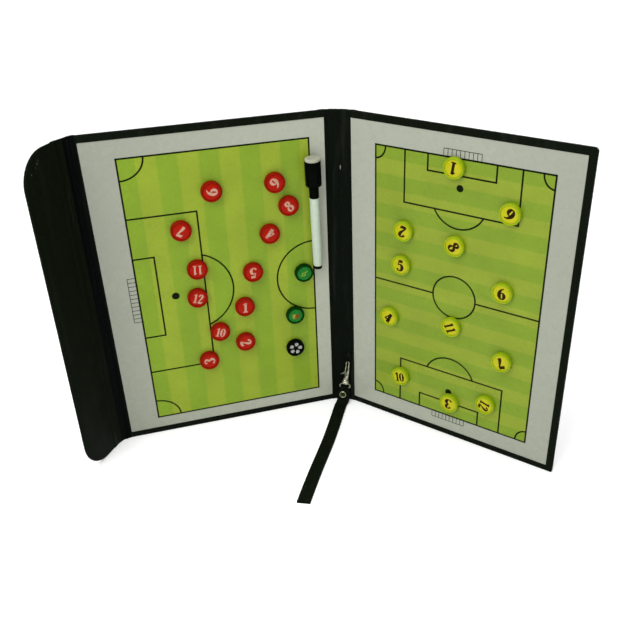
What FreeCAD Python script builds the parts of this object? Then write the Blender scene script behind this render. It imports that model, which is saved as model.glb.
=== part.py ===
import FreeCAD, Part
import math
import os
import Sketcher

# A folding tactics board: two covers hinged on a spine, a closing flap on a gusset, magnetic counters,
# a marker pen, and a wrist strap on a snap hook. It stands open on its lower edges, spine at the back.
# The origin is on the floor under the middle of the spine, between the two hinge lines.
# +X runs to the right cover, -Y to the viewer, +Z up. Lengths are in millimetres, angles in degrees.

COVER_SIZES = {
    "sheet_width": 210.0,
    "sheet_height": 297.0,
    "pitch_sheet_thickness": 0.4,
    "steel_thickness": 0.4,
    "board_thickness": 2.4,
    "skin_thickness": 0.8,
    "border": 6.2,
    "flap_side_border": 4.6,
    "hinge_border": 1.1,
    "crease_radius": 1.2,
    "crease_clearance": 0.3,
    "spine_span": 20.0,
    "open_angle": 130.0,
    "seat_gap": 0.05,
    "overrun": 5.0,
}
FLAP_SIZES = {
    "gusset_width": 12.8,
    "gusset_thickness": 1.6,
    "gusset_angle": 40.2,
    "flap_angle": 14.0,
    "flap_width": 45.1,
    "flap_thickness": 2.4,
    "flap_skin": 0.6,
    "flap_corner_radius": 29.0,
    "flap_magnet_diameter": 12.0,
    "flap_magnet_inset": 14.0,
    "flap_magnet_spacing": 160.0,
}
COUNTER_SIZES = {
    "counter_diameter": 19.0,
    "small_counter_diameter": 18.0,
    "counter_height": 5.0,
    "counter_chamfer": 0.7,
    "rim_width": 1.9,
    "rim_depth": 0.9,
    "label_thickness": 0.3,
    "label_clearance": 0.1,
    "magnet_diameter": 12.0,
    "magnet_thickness": 2.5,
    "magnet_clearance": 0.1,
}
PEN_SIZES = {
    "pen_barrel_diameter": 9.0,
    "pen_barrel_length": 69.3,
    "pen_barrel_wall": 1.0,
    "pen_plug_diameter": 8.0,
    "pen_plug_length": 3.6,
    "pen_plug_stem": 6.0,
    "pen_grip_diameter": 8.9,
    "pen_grip_length": 11.9,
    "pen_spigot_diameter": 7.4,
    "pen_spigot_length": 8.0,
    "pen_nib_diameter": 4.0,
    "pen_nib_reach": 4.0,
    "pen_nib_tip": 2.0,
    "pen_cap_diameter": 14.8,
    "pen_cap_length": 23.4,
    "pen_cap_bore": 16.0,
    "pen_cap_chamfer": 0.8,
    "pen_cap_clearance": 0.05,
    "pen_magnet_diameter": 9.0,
    "pen_magnet_thickness": 2.0,
    "pen_eraser_diameter": 13.4,
    "pen_eraser_thickness": 2.8,
    "pen_eraser_chamfer": 0.6,
    "pen_gap": 0.1,
    "pen_slant": 1.3,
}
HOOK_SIZES = {
    "hook_offset": 5.5,
    "hook_lean": 5.9,
    "hook_stand": 6.0,
    "hook_length": 26.65,
    "hook_wire": 0.7,
    "bow_radius": 1.7,
    "bow_tip": 2.5,
    "collar_radius": 3.7,
    "collar_rim": 3.0,
    "collar_height": 7.0,
    "collar_top_radius": 2.2,
    "collar_floor": 2.0,
    "swivel_post_radius": 1.25,
    "swivel_clearance": 0.25,
    "swivel_head_radius": 1.8,
    "swivel_head_height": 1.8,
    "swivel_head_gap": 0.2,
    "plate_height": 7.6,
    "plate_thickness": 2.8,
    "plate_root": 0.6,
    "plate_left": 2.6,
    "plate_margin": 0.4,
    "slot_width": 1.3,
    "slot_reach": 0.6,
    "slot_drop": 2.4,
    "lever_pivot_side": 1.5,
    "lever_pivot_drop": 1.6,
    "lever_pin_radius": 0.6,
    "lever_clearance": 0.05,
    "lever_root_radius": 1.5,
    "lever_root_thickness": 1.0,
    "lever_gap": 0.3,
    "lever_reach": 3.0,
    "lever_thickness": 0.9,
    "lever_width": 2.4,
    "lever_droop": 24.0,
    "lever_rise": 0.2,
    "spring_thickness": 0.3,
    "spring_width": 0.9,
    "eye_half_width": 5.2,
    "eye_rise": 4.4,
    "eye_corner": 2.6,
    "eye_wire": 0.75,
    "eye_drop": 5.5,
}
TAB_SIZES = {
    "tab_height": 50.65,
    "tab_thickness": 1.0,
    "tab_ear_radius": 2.8,
    "tab_hole_clearance": 0.45,
    "tab_foot_width": 5.6,
    "tab_foot_thickness": 1.0,
    "tab_foot_below": 5.0,
    "tab_foot_above": 9.0,
}
STRAP_SIZES = {
    "strap_layer": 1.2,
    "strap_width": 12.35,
    "strap_reach": 163.0,
    "strap_bend": 7.0,
    "strap_slope": 78.0,
    "strap_shift": 1.3,
    "strap_corner": 2.0,
    "strap_eye_clearance": 0.3,
    "rivet_radius": 3.6,
    "rivet_post_radius": 1.2,
    "rivet_cap": 1.2,
    "rivet_drop": 8.0,
    "rivet_shift": 1.9,
}
SIZES = {
    **COVER_SIZES,
    **FLAP_SIZES,
    **COUNTER_SIZES,
    **PEN_SIZES,
    **HOOK_SIZES,
    **TAB_SIZES,
    **STRAP_SIZES,
}

# Each counter's place on its sheet: across from the spine's side, and up from the bottom.
RED_SHARES = {
    1: (0.4046, 0.4141),
    2: (0.4165, 0.2833),
    3: (0.5940, 0.2352),
    4: (0.2656, 0.6559),
    5: (0.3541, 0.5332),
    6: (0.2290, 0.8201),
    7: (0.6464, 0.7056),
    8: (0.1743, 0.7406),
    9: (0.5008, 0.8169),
    10: (0.5291, 0.3370),
    11: (0.5982, 0.5704),
    12: (0.6116, 0.4727),
}
YELLOW_SHARES = {
    1: (0.4879, 0.9072),
    2: (0.2669, 0.6818),
    3: (0.5254, 0.1146),
    4: (0.2031, 0.3723),
    5: (0.2590, 0.5674),
    6: (0.7320, 0.5613),
    7: (0.7562, 0.3286),
    8: (0.5086, 0.6721),
    9: (0.7354, 0.8062),
    10: (0.2668, 0.1553),
    11: (0.5124, 0.3994),
    12: (0.6993, 0.1551),
}
GREEN_SHARES = {
    1: (0.1204, 0.5038),
    2: (0.1726, 0.3528),
}
BALL_SHARES = {1: (0.1810, 0.2268)}
# The pen's lower end on the left sheet, given the same way.
PEN_PLACE_SHARES = (0.0555, 0.5172)
# The strap from above: drift to the left and way forward in shares of its reach, and the share of its width.
STRAP_ROUTE_SHARES = (
    (0.0000, 0.010, 0.42),
    (0.0000, 0.046, 0.42),
    (0.0020, 0.056, 0.75),
    (0.0080, 0.070, 1.0),
    (0.0143, 0.090, 1.0),
    (0.0171, 0.131, 1.0),
    (0.0210, 0.217, 1.0),
    (0.0279, 0.340, 1.0),
    (0.0365, 0.459, 1.0),
    (0.0481, 0.573, 1.0),
    (0.0604, 0.683, 1.0),
    (0.0745, 0.828, 1.0),
    (0.0885, 1.000, 1.0),
)
# The steps of a domed rivet cap, as shares of its radius and of its height.
DOME_SHARES = ((1.0, 0.0), (0.94, 0.45), (0.7, 0.85))
# How closely an edge's length must match the strap's thickness to be one of its upright corners.
TOLERANCE_SHARE = 1e-6

doc = FreeCAD.newDocument("tactics_board")
dim = doc.addObject("Spreadsheet::Sheet", "Dim")
for row, (alias, number) in enumerate(SIZES.items(), 1):
    dim.set(f"A{row}", alias)
    dim.set(f"B{row}", str(number))
    dim.setAlias(f"B{row}", alias)
doc.recompute()

# Sizes worked out from the sheet's cells. Depths grow away from the viewer, from the hinge line.
COVER_NEAR = "(Dim.crease_radius + Dim.crease_clearance)"
SHEET_NEAR = f"({COVER_NEAR} + Dim.hinge_border)"
SHEET_FAR = f"({SHEET_NEAR} + Dim.sheet_width)"
SHEET_TOP = "(Dim.border + Dim.sheet_height)"
COVER_HEIGHT = f"({SHEET_TOP} + Dim.border)"
FACE = "(-Dim.crease_radius)"
STEEL_FRONT = f"({FACE} + Dim.pitch_sheet_thickness)"
BOARD_FRONT = f"({STEEL_FRONT} + Dim.steel_thickness)"
BOARD_BACK = f"({BOARD_FRONT} + Dim.board_thickness)"
COVER_BACK = f"({BOARD_BACK} + Dim.skin_thickness)"
SPINE_HALF = f"(Dim.spine_span / 2 - {COVER_NEAR})"
LEFT_FAR = f"({SHEET_FAR} + Dim.flap_side_border)"
RIGHT_FAR = f"({SHEET_FAR} + Dim.border)"
PLATE_TOP = "(Dim.collar_height + Dim.plate_height - Dim.plate_root)"
PIVOT_HEIGHT = f"({PLATE_TOP} - Dim.lever_pivot_drop)"
BOW_HEIGHT = "(Dim.hook_length - Dim.bow_radius)"
ACROSS = FreeCAD.Vector(1, 0, 0)
DEEP = FreeCAD.Vector(0, 1, 0)
UP = FreeCAD.Vector(0, 0, 1)
RIGHT_ANGLE = 90
HALF_TURN = 180
FULL_TURN = 360
ALONG_X = FreeCAD.Rotation(DEEP, RIGHT_ANGLE)
ALONG_Y = FreeCAD.Rotation(ACROSS, -RIGHT_ANGLE)
TO_VIEWER = FreeCAD.Rotation(ACROSS, RIGHT_ANGLE)

pieces = []


def size(expression):
    """A length or an angle worked out from the sheet's cells."""
    return float(dim.evalExpression(expression))


def at(x="0", y="0", z="0", rotation=FreeCAD.Rotation()):
    """A placement whose position is worked out from the sheet's cells."""
    return FreeCAD.Placement(FreeCAD.Vector(size(x), size(y), size(z)), rotation)


def place(thing, x, y, z):
    """Ties an object's position to the sheet's cells."""
    for axis, expression in (("x", x), ("y", y), ("z", z)):
        thing.setExpression(f"Placement.Base.{axis}", expression)
    return thing


def keep(thing, label, placement=FreeCAD.Placement()):
    """Names a finished sub-part and puts it where it belongs."""
    thing.Label = label
    thing.Placement = placement
    pieces.append(thing)
    return thing


def block(name, length, width, height):
    """A box with its sizes tied to the sheet."""
    box = doc.addObject("Part::Box", name)
    box.setExpression("Length", length)
    box.setExpression("Width", width)
    box.setExpression("Height", height)
    return box


def slab(name, near, far, front, back, bottom, top):
    """A box between two planes each way."""
    box = block(name, f"{far} - {near}", f"{back} - {front}", f"{top} - {bottom}")
    return place(box, near, front, bottom)


def rod(name, radius, length, x, y, z, rotation=FreeCAD.Rotation(), sweep=FULL_TURN):
    """A cylinder, or a slice of one, that starts at a point and runs along the rotated Z axis."""
    cylinder = doc.addObject("Part::Cylinder", name)
    cylinder.Placement.Rotation = rotation
    cylinder.Angle = sweep
    cylinder.setExpression("Radius", radius)
    cylinder.setExpression("Height", length)
    return place(cylinder, x, y, z)


def arc(name, ring, wire, x, z, start, sweep):
    """A round wire bent to part of a ring in the upright plane, given the ring's centre."""
    torus = doc.addObject("Part::Torus", name)
    torus.Placement.Rotation = TO_VIEWER.multiply(FreeCAD.Rotation(UP, start))
    torus.setExpression("Radius1", ring)
    torus.setExpression("Radius2", wire)
    torus.Angle3 = sweep
    return place(torus, x, "0", z)


def cut(name, base, *tools):
    """The base with the tools taken away, one after the other."""
    for number, tool in enumerate(tools, 1):
        result = doc.addObject("Part::Cut", f"{name}_cut_{number}")
        result.Base = base
        result.Tool = tool
        result.Refine = True
        base = result
    return base


def fuse(name, *shapes):
    """Shapes joined into one solid."""
    result = doc.addObject("Part::MultiFuse", f"{name}_whole")
    result.Shapes = shapes
    result.Refine = True
    return result


def group(name, *shapes):
    """Separate solids kept together in one sub-part."""
    result = doc.addObject("Part::Compound", f"{name}_set")
    result.Links = shapes
    return result


def outline(body, name, plane_role, corners):
    """A sketch of straight lines through corners that are tied to the sheet."""
    sketch = body.newObject("Sketcher::SketchObject", name)
    plane = next(f for f in body.Origin.OriginFeatures if f.Role == plane_role)
    sketch.AttachmentSupport = [(plane, "")]
    sketch.MapMode = "FlatFace"
    points = [FreeCAD.Vector(size(first), size(second), 0) for first, second in corners]
    count = len(points)
    for number, point in enumerate(points):
        sketch.addGeometry(Part.LineSegment(point, points[(number + 1) % count]))
    for number in range(count):
        sketch.addConstraint(Sketcher.Constraint("Coincident", number, 2, (number + 1) % count, 1))
    for number, corner in enumerate(corners):
        for way, axis, distance in (("DistanceX", -2, corner[0]), ("DistanceY", -1, corner[1])):
            if distance == "0":
                sketch.addConstraint(Sketcher.Constraint("PointOnObject", number, 1, axis))
                continue
            limit = Sketcher.Constraint(way, -1, 1, number, 1, size(distance))
            index = sketch.addConstraint(limit)
            sketch.setExpression(f"Constraints[{index}]", distance)
    return sketch


def turned(name, corners):
    """A body turned about its own Z axis, from a section given as radius and height pairs."""
    body = doc.addObject("PartDesign::Body", name)
    turn = outline(body, f"{name}_section", "XZ_Plane", corners)
    solid = body.newObject("PartDesign::Revolution", f"{name}_turn")
    solid.Profile = turn
    solid.ReferenceAxis = (turn, ["V_Axis"])
    solid.Angle = FULL_TURN
    return body


def upright_plate(name, corners, thickness):
    """A plate cut to an outline in the upright plane, with its middle in that plane."""
    body = doc.addObject("PartDesign::Body", name)
    shape = outline(body, f"{name}_outline", "XZ_Plane", corners)
    pad = body.newObject("PartDesign::Pad", f"{name}_pad")
    pad.Profile = shape
    pad.setExpression("Length", thickness)
    pad.SideType = "Symmetric"
    return body


def rounded_plate(name, far, front, back, inset, radius):
    """The flap's plate, running to the left, with its two outer corners rounded."""
    near = f"-({COVER_NEAR} + {inset})"
    straight = f"-({far} - {radius})"
    top = f"({COVER_HEIGHT} - {inset})"
    depth = f"{back} - {front}"
    inner = slab(f"{name}_inner", straight, near, front, back, inset, top)
    low_corner = f"({inset} + {radius})"
    high_corner = f"({top} - {radius})"
    outer = slab(f"{name}_outer", f"-{far}", straight, front, back, low_corner, high_corner)
    low_turn = ALONG_Y.multiply(FreeCAD.Rotation(UP, RIGHT_ANGLE))
    high_turn = ALONG_Y.multiply(FreeCAD.Rotation(UP, HALF_TURN))
    low = rod(f"{name}_low", radius, depth, straight, front, low_corner, low_turn, RIGHT_ANGLE)
    high = rod(f"{name}_high", radius, depth, straight, front, high_corner, high_turn, RIGHT_ANGLE)
    return fuse(name, inner, outer, low, high)


def span(side, near, far):
    """The X limits of a stretch that starts at the hinge line: to the right, or mirrored to the left."""
    return (near, far) if side > 0 else (f"-{far}", f"-{near}")


def cover(name, side, far, placement):
    """A cover: skin turned in round a board, with a steel sheet and the printed sheet in its window."""
    outer = slab(f"{name}_envelope", *span(side, COVER_NEAR, far), FACE, COVER_BACK, "0", COVER_HEIGHT)
    board_near = f"({COVER_NEAR} + Dim.skin_thickness)"
    board_far = f"({far} - Dim.skin_thickness)"
    board_top = f"({COVER_HEIGHT} - Dim.skin_thickness)"
    board_span = span(side, board_near, board_far)
    board_limits = (*board_span, BOARD_FRONT, BOARD_BACK, "Dim.skin_thickness", board_top)
    cavity = slab(f"{name}_cavity", *board_limits)
    across = span(side, SHEET_NEAR, SHEET_FAR)
    proud = f"({FACE} - Dim.overrun)"
    window = slab(f"{name}_window", *across, proud, BOARD_FRONT, "Dim.border", SHEET_TOP)
    keep(cut(f"{name}_cover_skin", outer, cavity, window), f"{name}_cover_skin", placement)
    layers = (
        ("cover_board", *board_limits),
        ("steel_sheet", *across, STEEL_FRONT, BOARD_FRONT, "Dim.border", SHEET_TOP),
        ("pitch_sheet", *across, FACE, STEEL_FRONT, "Dim.border", SHEET_TOP),
    )
    for layer, near, end, front, back, bottom, top in layers:
        depth = f"{back} - {front}"
        box = block(f"{name}_{layer}_box", f"{end} - {near}", depth, f"{top} - {bottom}")
        keep(box, f"{name}_{layer}", placement.multiply(at(near, front, bottom)))


def spine():
    """The spine: a board wrapped in skin, and the lining whose rolled edges are the two hinge creases."""
    edge = "(Dim.spine_span / 2)"
    limits = (f"-{SPINE_HALF}", SPINE_HALF, BOARD_FRONT, COVER_BACK, "0", COVER_HEIGHT)
    wrap = slab("spine_envelope", *limits)
    inner = f"({SPINE_HALF} - Dim.skin_thickness)"
    top = f"({COVER_HEIGHT} - Dim.skin_thickness)"
    open_front = f"({BOARD_FRONT} - Dim.overrun)"
    cavity = slab("spine_cavity", f"-{inner}", inner, open_front, BOARD_BACK, "Dim.skin_thickness", top)
    keep(cut("spine_skin", wrap, cavity), "spine_skin")
    board = block("spine_board_box", f"2 * {inner}", "Dim.board_thickness", f"{top} - Dim.skin_thickness")
    keep(board, "spine_board", at(f"-{inner}", BOARD_FRONT, "Dim.skin_thickness"))
    strip = slab("lining_strip", f"-{edge}", edge, FACE, BOARD_FRONT, "0", COVER_HEIGHT)
    creases = [
        rod(f"lining_crease_{number}", "Dim.crease_radius", COVER_HEIGHT, x, "0", "0")
        for number, x in enumerate((f"-{edge}", edge), 1)
    ]
    keep(fuse("spine_lining", strip, *creases), "spine_lining")


def flap(gusset_place, flap_place):
    """The closing flap and the soft gusset that joins it to the left cover."""
    half = "(Dim.gusset_thickness / 2)"
    strip = slab("gusset_band", "-Dim.gusset_width", "0", f"-{half}", half, "0", COVER_HEIGHT)
    creases = [
        rod(f"gusset_crease_{number}", "Dim.crease_radius", COVER_HEIGHT, x, "0", "0")
        for number, x in enumerate(("-Dim.gusset_width", "0"), 1)
    ]
    keep(fuse("gusset_strip", strip, *creases), "gusset_strip", gusset_place)
    front = "(-Dim.flap_thickness / 2)"
    back = "(Dim.flap_thickness / 2)"
    shell = rounded_plate("flap_shell", "Dim.flap_width", front, back, "0", "Dim.flap_corner_radius")
    far = "(Dim.flap_width - Dim.flap_skin)"
    radius = "(Dim.flap_corner_radius - Dim.flap_skin)"
    inner_front = f"({front} + Dim.flap_skin)"
    inner_back = f"({back} - Dim.flap_skin)"
    core = rounded_plate("flap_core", far, inner_front, inner_back, "Dim.flap_skin", radius)
    keep(cut("flap_skin", shell, core), "flap_skin", flap_place)
    across = "-(Dim.flap_width - Dim.flap_magnet_inset)"
    depth = f"{inner_back} - {inner_front}"
    magnets = [
        rod(
            f"flap_magnet_{number}",
            "Dim.flap_magnet_diameter / 2",
            depth,
            across,
            inner_front,
            f"{COVER_HEIGHT} / 2 {sign} Dim.flap_magnet_spacing / 2",
            ALONG_Y,
        )
        for number, sign in enumerate("-+", 1)
    ]
    keep(cut("flap_board", core, *magnets), "flap_board", flap_place)
    keep(group("flap_magnets", *magnets), "flap_magnets", flap_place)


def counter_pieces(name, diameter):
    """One counter: a cup with a raised rim, the label in its recess and the magnet in its base."""
    outer = f"({diameter} / 2)"
    magnet = "(Dim.magnet_diameter / 2)"
    pocket = f"({magnet} + Dim.magnet_clearance)"
    seat = "(Dim.counter_height - Dim.rim_depth)"
    cup = turned(
        f"{name}_cup",
        (
            (pocket, "0"),
            (outer, "0"),
            (outer, "Dim.counter_height - Dim.counter_chamfer"),
            (f"{outer} - Dim.counter_chamfer", "Dim.counter_height"),
            (f"{outer} - Dim.rim_width", "Dim.counter_height"),
            (f"{outer} - Dim.rim_width", seat),
            ("0", seat),
            ("0", "Dim.magnet_thickness"),
            (pocket, "Dim.magnet_thickness"),
        ),
    )
    label_radius = f"{outer} - Dim.rim_width - Dim.label_clearance"
    label = rod(f"{name}_label", label_radius, "Dim.label_thickness", "0", "0", seat)
    disc = rod(f"{name}_magnet", magnet, "Dim.magnet_thickness", "0", "0", "0")
    return cup, label, disc


def on_sheet(side, shares, lift):
    """A place on a cover's sheet, as cover coordinates, with its Z axis out of the sheet."""
    across = f"({SHEET_NEAR} + {shares[0]} * Dim.sheet_width)"
    height = f"Dim.border + {shares[1]} * Dim.sheet_height"
    return at(across if side > 0 else f"-{across}", f"{FACE} - {lift}", height, TO_VIEWER)


def counters(left_place, right_place):
    """The counters on both sheets, each with a place of its own."""
    large = counter_pieces("large_counter", "Dim.counter_diameter")
    small = counter_pieces("small_counter", "Dim.small_counter_diameter")
    sets = (
        ("red_counter", RED_SHARES, large, -1, left_place),
        ("green_counter", GREEN_SHARES, small, -1, left_place),
        ("ball_counter", BALL_SHARES, small, -1, left_place),
        ("yellow_counter", YELLOW_SHARES, large, 1, right_place),
    )
    for kind, shares, parts, side, cover_place in sets:
        for number, share in shares.items():
            name = f"{kind}_{number:02d}"
            seat = cover_place.multiply(on_sheet(side, share, "Dim.seat_gap"))
            keep(group(name, *parts), name, seat)


def pen(cover_place):
    """The marker pen on the left sheet, lower end down, with its cap and felt eraser on top."""
    barrel = "(Dim.pen_barrel_diameter / 2)"
    bore = f"({barrel} - Dim.pen_barrel_wall)"
    plug = "(Dim.pen_plug_diameter / 2)"
    grip = "(Dim.pen_grip_diameter / 2)"
    spigot = "(Dim.pen_spigot_diameter / 2)"
    nib = "(Dim.pen_nib_diameter / 2)"
    cap = "(Dim.pen_cap_diameter / 2)"
    cap_bore = f"({spigot} + Dim.pen_cap_clearance)"
    magnet = "(Dim.pen_magnet_diameter / 2)"
    eraser = "(Dim.pen_eraser_diameter / 2)"
    barrel_start = "Dim.pen_plug_length"
    stem_end = f"({barrel_start} + Dim.pen_plug_stem)"
    grip_start = f"({barrel_start} + Dim.pen_barrel_length)"
    cap_start = f"({grip_start} + Dim.pen_grip_length)"
    spigot_end = f"({cap_start} + Dim.pen_spigot_length)"
    nib_end = f"({spigot_end} + Dim.pen_nib_reach)"
    cap_end = f"({cap_start} + Dim.pen_cap_length)"
    magnet_start = f"({cap_end} - Dim.pen_magnet_thickness)"
    bore_end = f"({cap_start} + Dim.pen_cap_bore)"
    felt_end = f"({cap_end} + Dim.pen_eraser_thickness)"
    sections = {
        "pen_end_plug": (
            ("0", "0"),
            (plug, "0"),
            (plug, barrel_start),
            (bore, barrel_start),
            (bore, stem_end),
            ("0", stem_end),
        ),
        "pen_barrel": (
            (bore, barrel_start),
            (barrel, barrel_start),
            (barrel, grip_start),
            (bore, grip_start),
        ),
        "pen_ink_reservoir": (
            ("0", stem_end),
            (bore, stem_end),
            (bore, grip_start),
            ("0", grip_start),
        ),
        "pen_grip": (
            (nib, grip_start),
            (grip, grip_start),
            (grip, cap_start),
            (spigot, cap_start),
            (spigot, spigot_end),
            (nib, spigot_end),
        ),
        "pen_nib": (
            ("0", grip_start),
            (nib, grip_start),
            (nib, f"{nib_end} - Dim.pen_nib_tip"),
            (f"{nib} / 2", nib_end),
            ("0", nib_end),
        ),
        "pen_cap": (
            (cap_bore, cap_start),
            (f"{cap} - Dim.pen_cap_chamfer", cap_start),
            (cap, f"{cap_start} + Dim.pen_cap_chamfer"),
            (cap, cap_end),
            (magnet, cap_end),
            (magnet, magnet_start),
            ("0", magnet_start),
            ("0", bore_end),
            (cap_bore, bore_end),
        ),
        "pen_cap_magnet": (
            ("0", magnet_start),
            (magnet, magnet_start),
            (magnet, cap_end),
            ("0", cap_end),
        ),
        "pen_eraser": (
            ("0", cap_end),
            (eraser, cap_end),
            (eraser, f"{felt_end} - Dim.pen_eraser_chamfer"),
            (f"{eraser} - Dim.pen_eraser_chamfer", felt_end),
            ("0", felt_end),
        ),
    }
    # The pen rests on its cap and on the barrel's lower end, so it leans away from the sheet.
    rest_rise = size(f"{cap} - {barrel}")
    lean = math.degrees(math.atan(rest_rise / size(f"{cap_start} - {barrel_start}")))
    across = f"-({SHEET_NEAR} + {PEN_PLACE_SHARES[0]} * Dim.sheet_width)"
    height = f"Dim.border + {PEN_PLACE_SHARES[1]} * Dim.sheet_height"
    slant = FreeCAD.Rotation(DEEP, -size("Dim.pen_slant"))
    turn = slant.multiply(FreeCAD.Rotation(ACROSS, lean))
    seat = cover_place.multiply(at(across, f"{FACE} - {barrel} - Dim.pen_gap", height, turn))
    for name, corners in sections.items():
        keep(turned(f"{name}_body", corners), name, seat)


def snap_hook(hook_place):
    """The snap hook: collar, plate and bow in one casting, with the sprung lever that closes the bow."""
    bore = "(Dim.swivel_post_radius + Dim.swivel_clearance)"
    room = "(Dim.swivel_head_radius + Dim.swivel_head_gap)"
    ceiling = "(Dim.collar_floor + Dim.swivel_head_height + 2 * Dim.swivel_head_gap)"
    collar = turned(
        "hook_collar",
        (
            (bore, "0"),
            ("Dim.collar_radius", "0"),
            ("Dim.collar_radius", "Dim.collar_rim"),
            ("Dim.collar_top_radius", "Dim.collar_height"),
            ("0", "Dim.collar_height"),
            ("0", ceiling),
            (room, ceiling),
            (room, "Dim.collar_floor"),
            (bore, "Dim.collar_floor"),
        ),
    )
    foot = "(Dim.collar_height - Dim.plate_root)"
    right = "(Dim.bow_radius + Dim.hook_wire + Dim.plate_margin)"
    corners = (
        ("-Dim.collar_top_radius", foot),
        ("Dim.collar_top_radius", foot),
        (right, PLATE_TOP),
        ("-Dim.plate_left", PLATE_TOP),
    )
    plate = upright_plate("hook_plate", corners, "Dim.plate_thickness")
    limb_start = f"({PLATE_TOP} - Dim.plate_root)"
    limb_length = f"{BOW_HEIGHT} - {limb_start}"
    limb = rod("hook_limb", "Dim.hook_wire", limb_length, "Dim.bow_radius", "0", limb_start)
    tip_start = f"({BOW_HEIGHT} - Dim.bow_tip)"
    tip = rod("hook_tip", "Dim.hook_wire", "Dim.bow_tip", "-Dim.bow_radius", "0", tip_start)
    bow = arc("hook_bow", "Dim.bow_radius", "Dim.hook_wire", "0", BOW_HEIGHT, 0, HALF_TURN)
    casting = fuse("hook_casting", collar, plate, limb, bow, tip)
    slot_half = "(Dim.slot_width / 2)"
    slot_floor = f"({PIVOT_HEIGHT} - Dim.slot_drop)"
    slot_left = "(-Dim.plate_left - Dim.overrun)"
    slot_top = f"({PLATE_TOP} + Dim.hook_wire)"
    slot_depth = (f"-{slot_half}", slot_half)
    slot = slab("hook_slot", slot_left, "Dim.slot_reach", *slot_depth, slot_floor, slot_top)
    pin_half = "(Dim.plate_thickness / 2)"
    pin_place = ("-Dim.lever_pivot_side", f"-{pin_half}", PIVOT_HEIGHT)
    pin_hole = rod("hook_pin_hole", "Dim.lever_pin_radius", "Dim.plate_thickness", *pin_place, ALONG_Y)
    keep(cut("snap_hook_body", casting, slot, pin_hole), "snap_hook_body", hook_place)
    keep(group("lever_pin", pin_hole), "lever_pin", hook_place)
    leaf_far = "(Dim.slot_reach - Dim.spring_thickness / 2)"
    leaf_near = f"({leaf_far} - Dim.spring_thickness)"
    leaf_half = "(Dim.spring_width / 2)"
    leaf = slab("spring_leaf", leaf_near, leaf_far, f"-{leaf_half}", leaf_half, slot_floor, PLATE_TOP)
    keep(group("lever_spring", leaf), "lever_spring", hook_place)
    lever(hook_place, tip_start)


def lever(hook_place, tip_start):
    """The thumb lever: an eye on the pin, the arm that closes the bow, and the thumb tab."""
    half = "(Dim.lever_root_thickness / 2)"
    bore = "(Dim.lever_pin_radius + Dim.lever_clearance)"
    pivot = ("-Dim.lever_pivot_side", f"-{half}", PIVOT_HEIGHT)
    root = rod("lever_root", "Dim.lever_root_radius", "Dim.lever_root_thickness", *pivot, ALONG_Y)
    arm_left = "(-Dim.bow_radius - Dim.hook_wire / 2)"
    arm_right = "(-Dim.bow_radius + Dim.hook_wire / 2)"
    arm_top = f"({tip_start} - Dim.lever_gap)"
    web = slab("lever_web", arm_left, arm_right, f"-{half}", half, PIVOT_HEIGHT, arm_top)
    arm_start = f"({PLATE_TOP} + Dim.lever_gap)"
    arm = rod("lever_arm", "Dim.hook_wire", f"{arm_top} - {arm_start}", "-Dim.bow_radius", "0", arm_start)
    tab = block("lever_tab", "Dim.lever_reach", "Dim.lever_width", "Dim.lever_thickness")
    tab.Placement.Rotation = FreeCAD.Rotation(DEEP, HALF_TURN - size("Dim.lever_droop"))
    tab_near = "(Dim.plate_left + Dim.lever_gap + Dim.lever_thickness / 2)"
    tab_height = f"({PIVOT_HEIGHT} + Dim.lever_rise)"
    place(tab, f"-{tab_near}", "-Dim.lever_width / 2", tab_height)
    neck_left = f"(-{tab_near} - Dim.lever_thickness / 2)"
    neck_low = f"({PIVOT_HEIGHT} - Dim.lever_thickness)"
    neck = slab("lever_neck", neck_left, "-Dim.lever_pivot_side", f"-{half}", half, neck_low, tab_height)
    hole = rod("lever_hole", bore, "Dim.lever_root_thickness", *pivot, ALONG_Y)
    whole = fuse("lever_blank", root, web, arm, neck, tab)
    keep(cut("snap_hook_lever", whole, hole), "snap_hook_lever", hook_place)


def swivel_eye(hook_place):
    """The eye that turns in the collar: a headed post on a D-shaped loop."""
    head_start = "(Dim.collar_floor + Dim.swivel_head_gap)"
    head = rod("eye_head", "Dim.swivel_head_radius", "Dim.swivel_head_height", "0", "0", head_start)
    post_start = "(Dim.eye_rise - Dim.eye_drop)"
    post = rod("eye_post", "Dim.swivel_post_radius", f"{head_start} - {post_start}", "0", "0", post_start)
    foot = "-Dim.eye_drop"
    bar_start = ("-Dim.eye_half_width", "0", foot)
    bar = rod("eye_bar", "Dim.eye_wire", "2 * Dim.eye_half_width", *bar_start, ALONG_X)
    half_top = "(Dim.eye_half_width - Dim.eye_corner)"
    top = rod("eye_top", "Dim.eye_wire", f"2 * {half_top}", f"-{half_top}", "0", post_start, ALONG_X)
    arm_height = "(Dim.eye_rise - Dim.eye_corner)"
    loop = [bar, top]
    for side, sign in (("right", ""), ("left", "-")):
        x = f"{sign}Dim.eye_half_width"
        corner = doc.addObject("Part::Sphere", f"eye_{side}_foot")
        corner.setExpression("Radius", "Dim.eye_wire")
        loop.append(place(corner, x, "0", foot))
        loop.append(rod(f"eye_{side}_arm", "Dim.eye_wire", arm_height, x, "0", foot))
        start = 0 if side == "right" else RIGHT_ANGLE
        ring = ("Dim.eye_corner", "Dim.eye_wire", f"{sign}{half_top}", f"{foot} + {arm_height}")
        loop.append(arc(f"eye_{side}_bend", *ring, start, RIGHT_ANGLE))
    keep(fuse("swivel_eye", head, post, *loop), "swivel_eye", hook_place)


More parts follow.
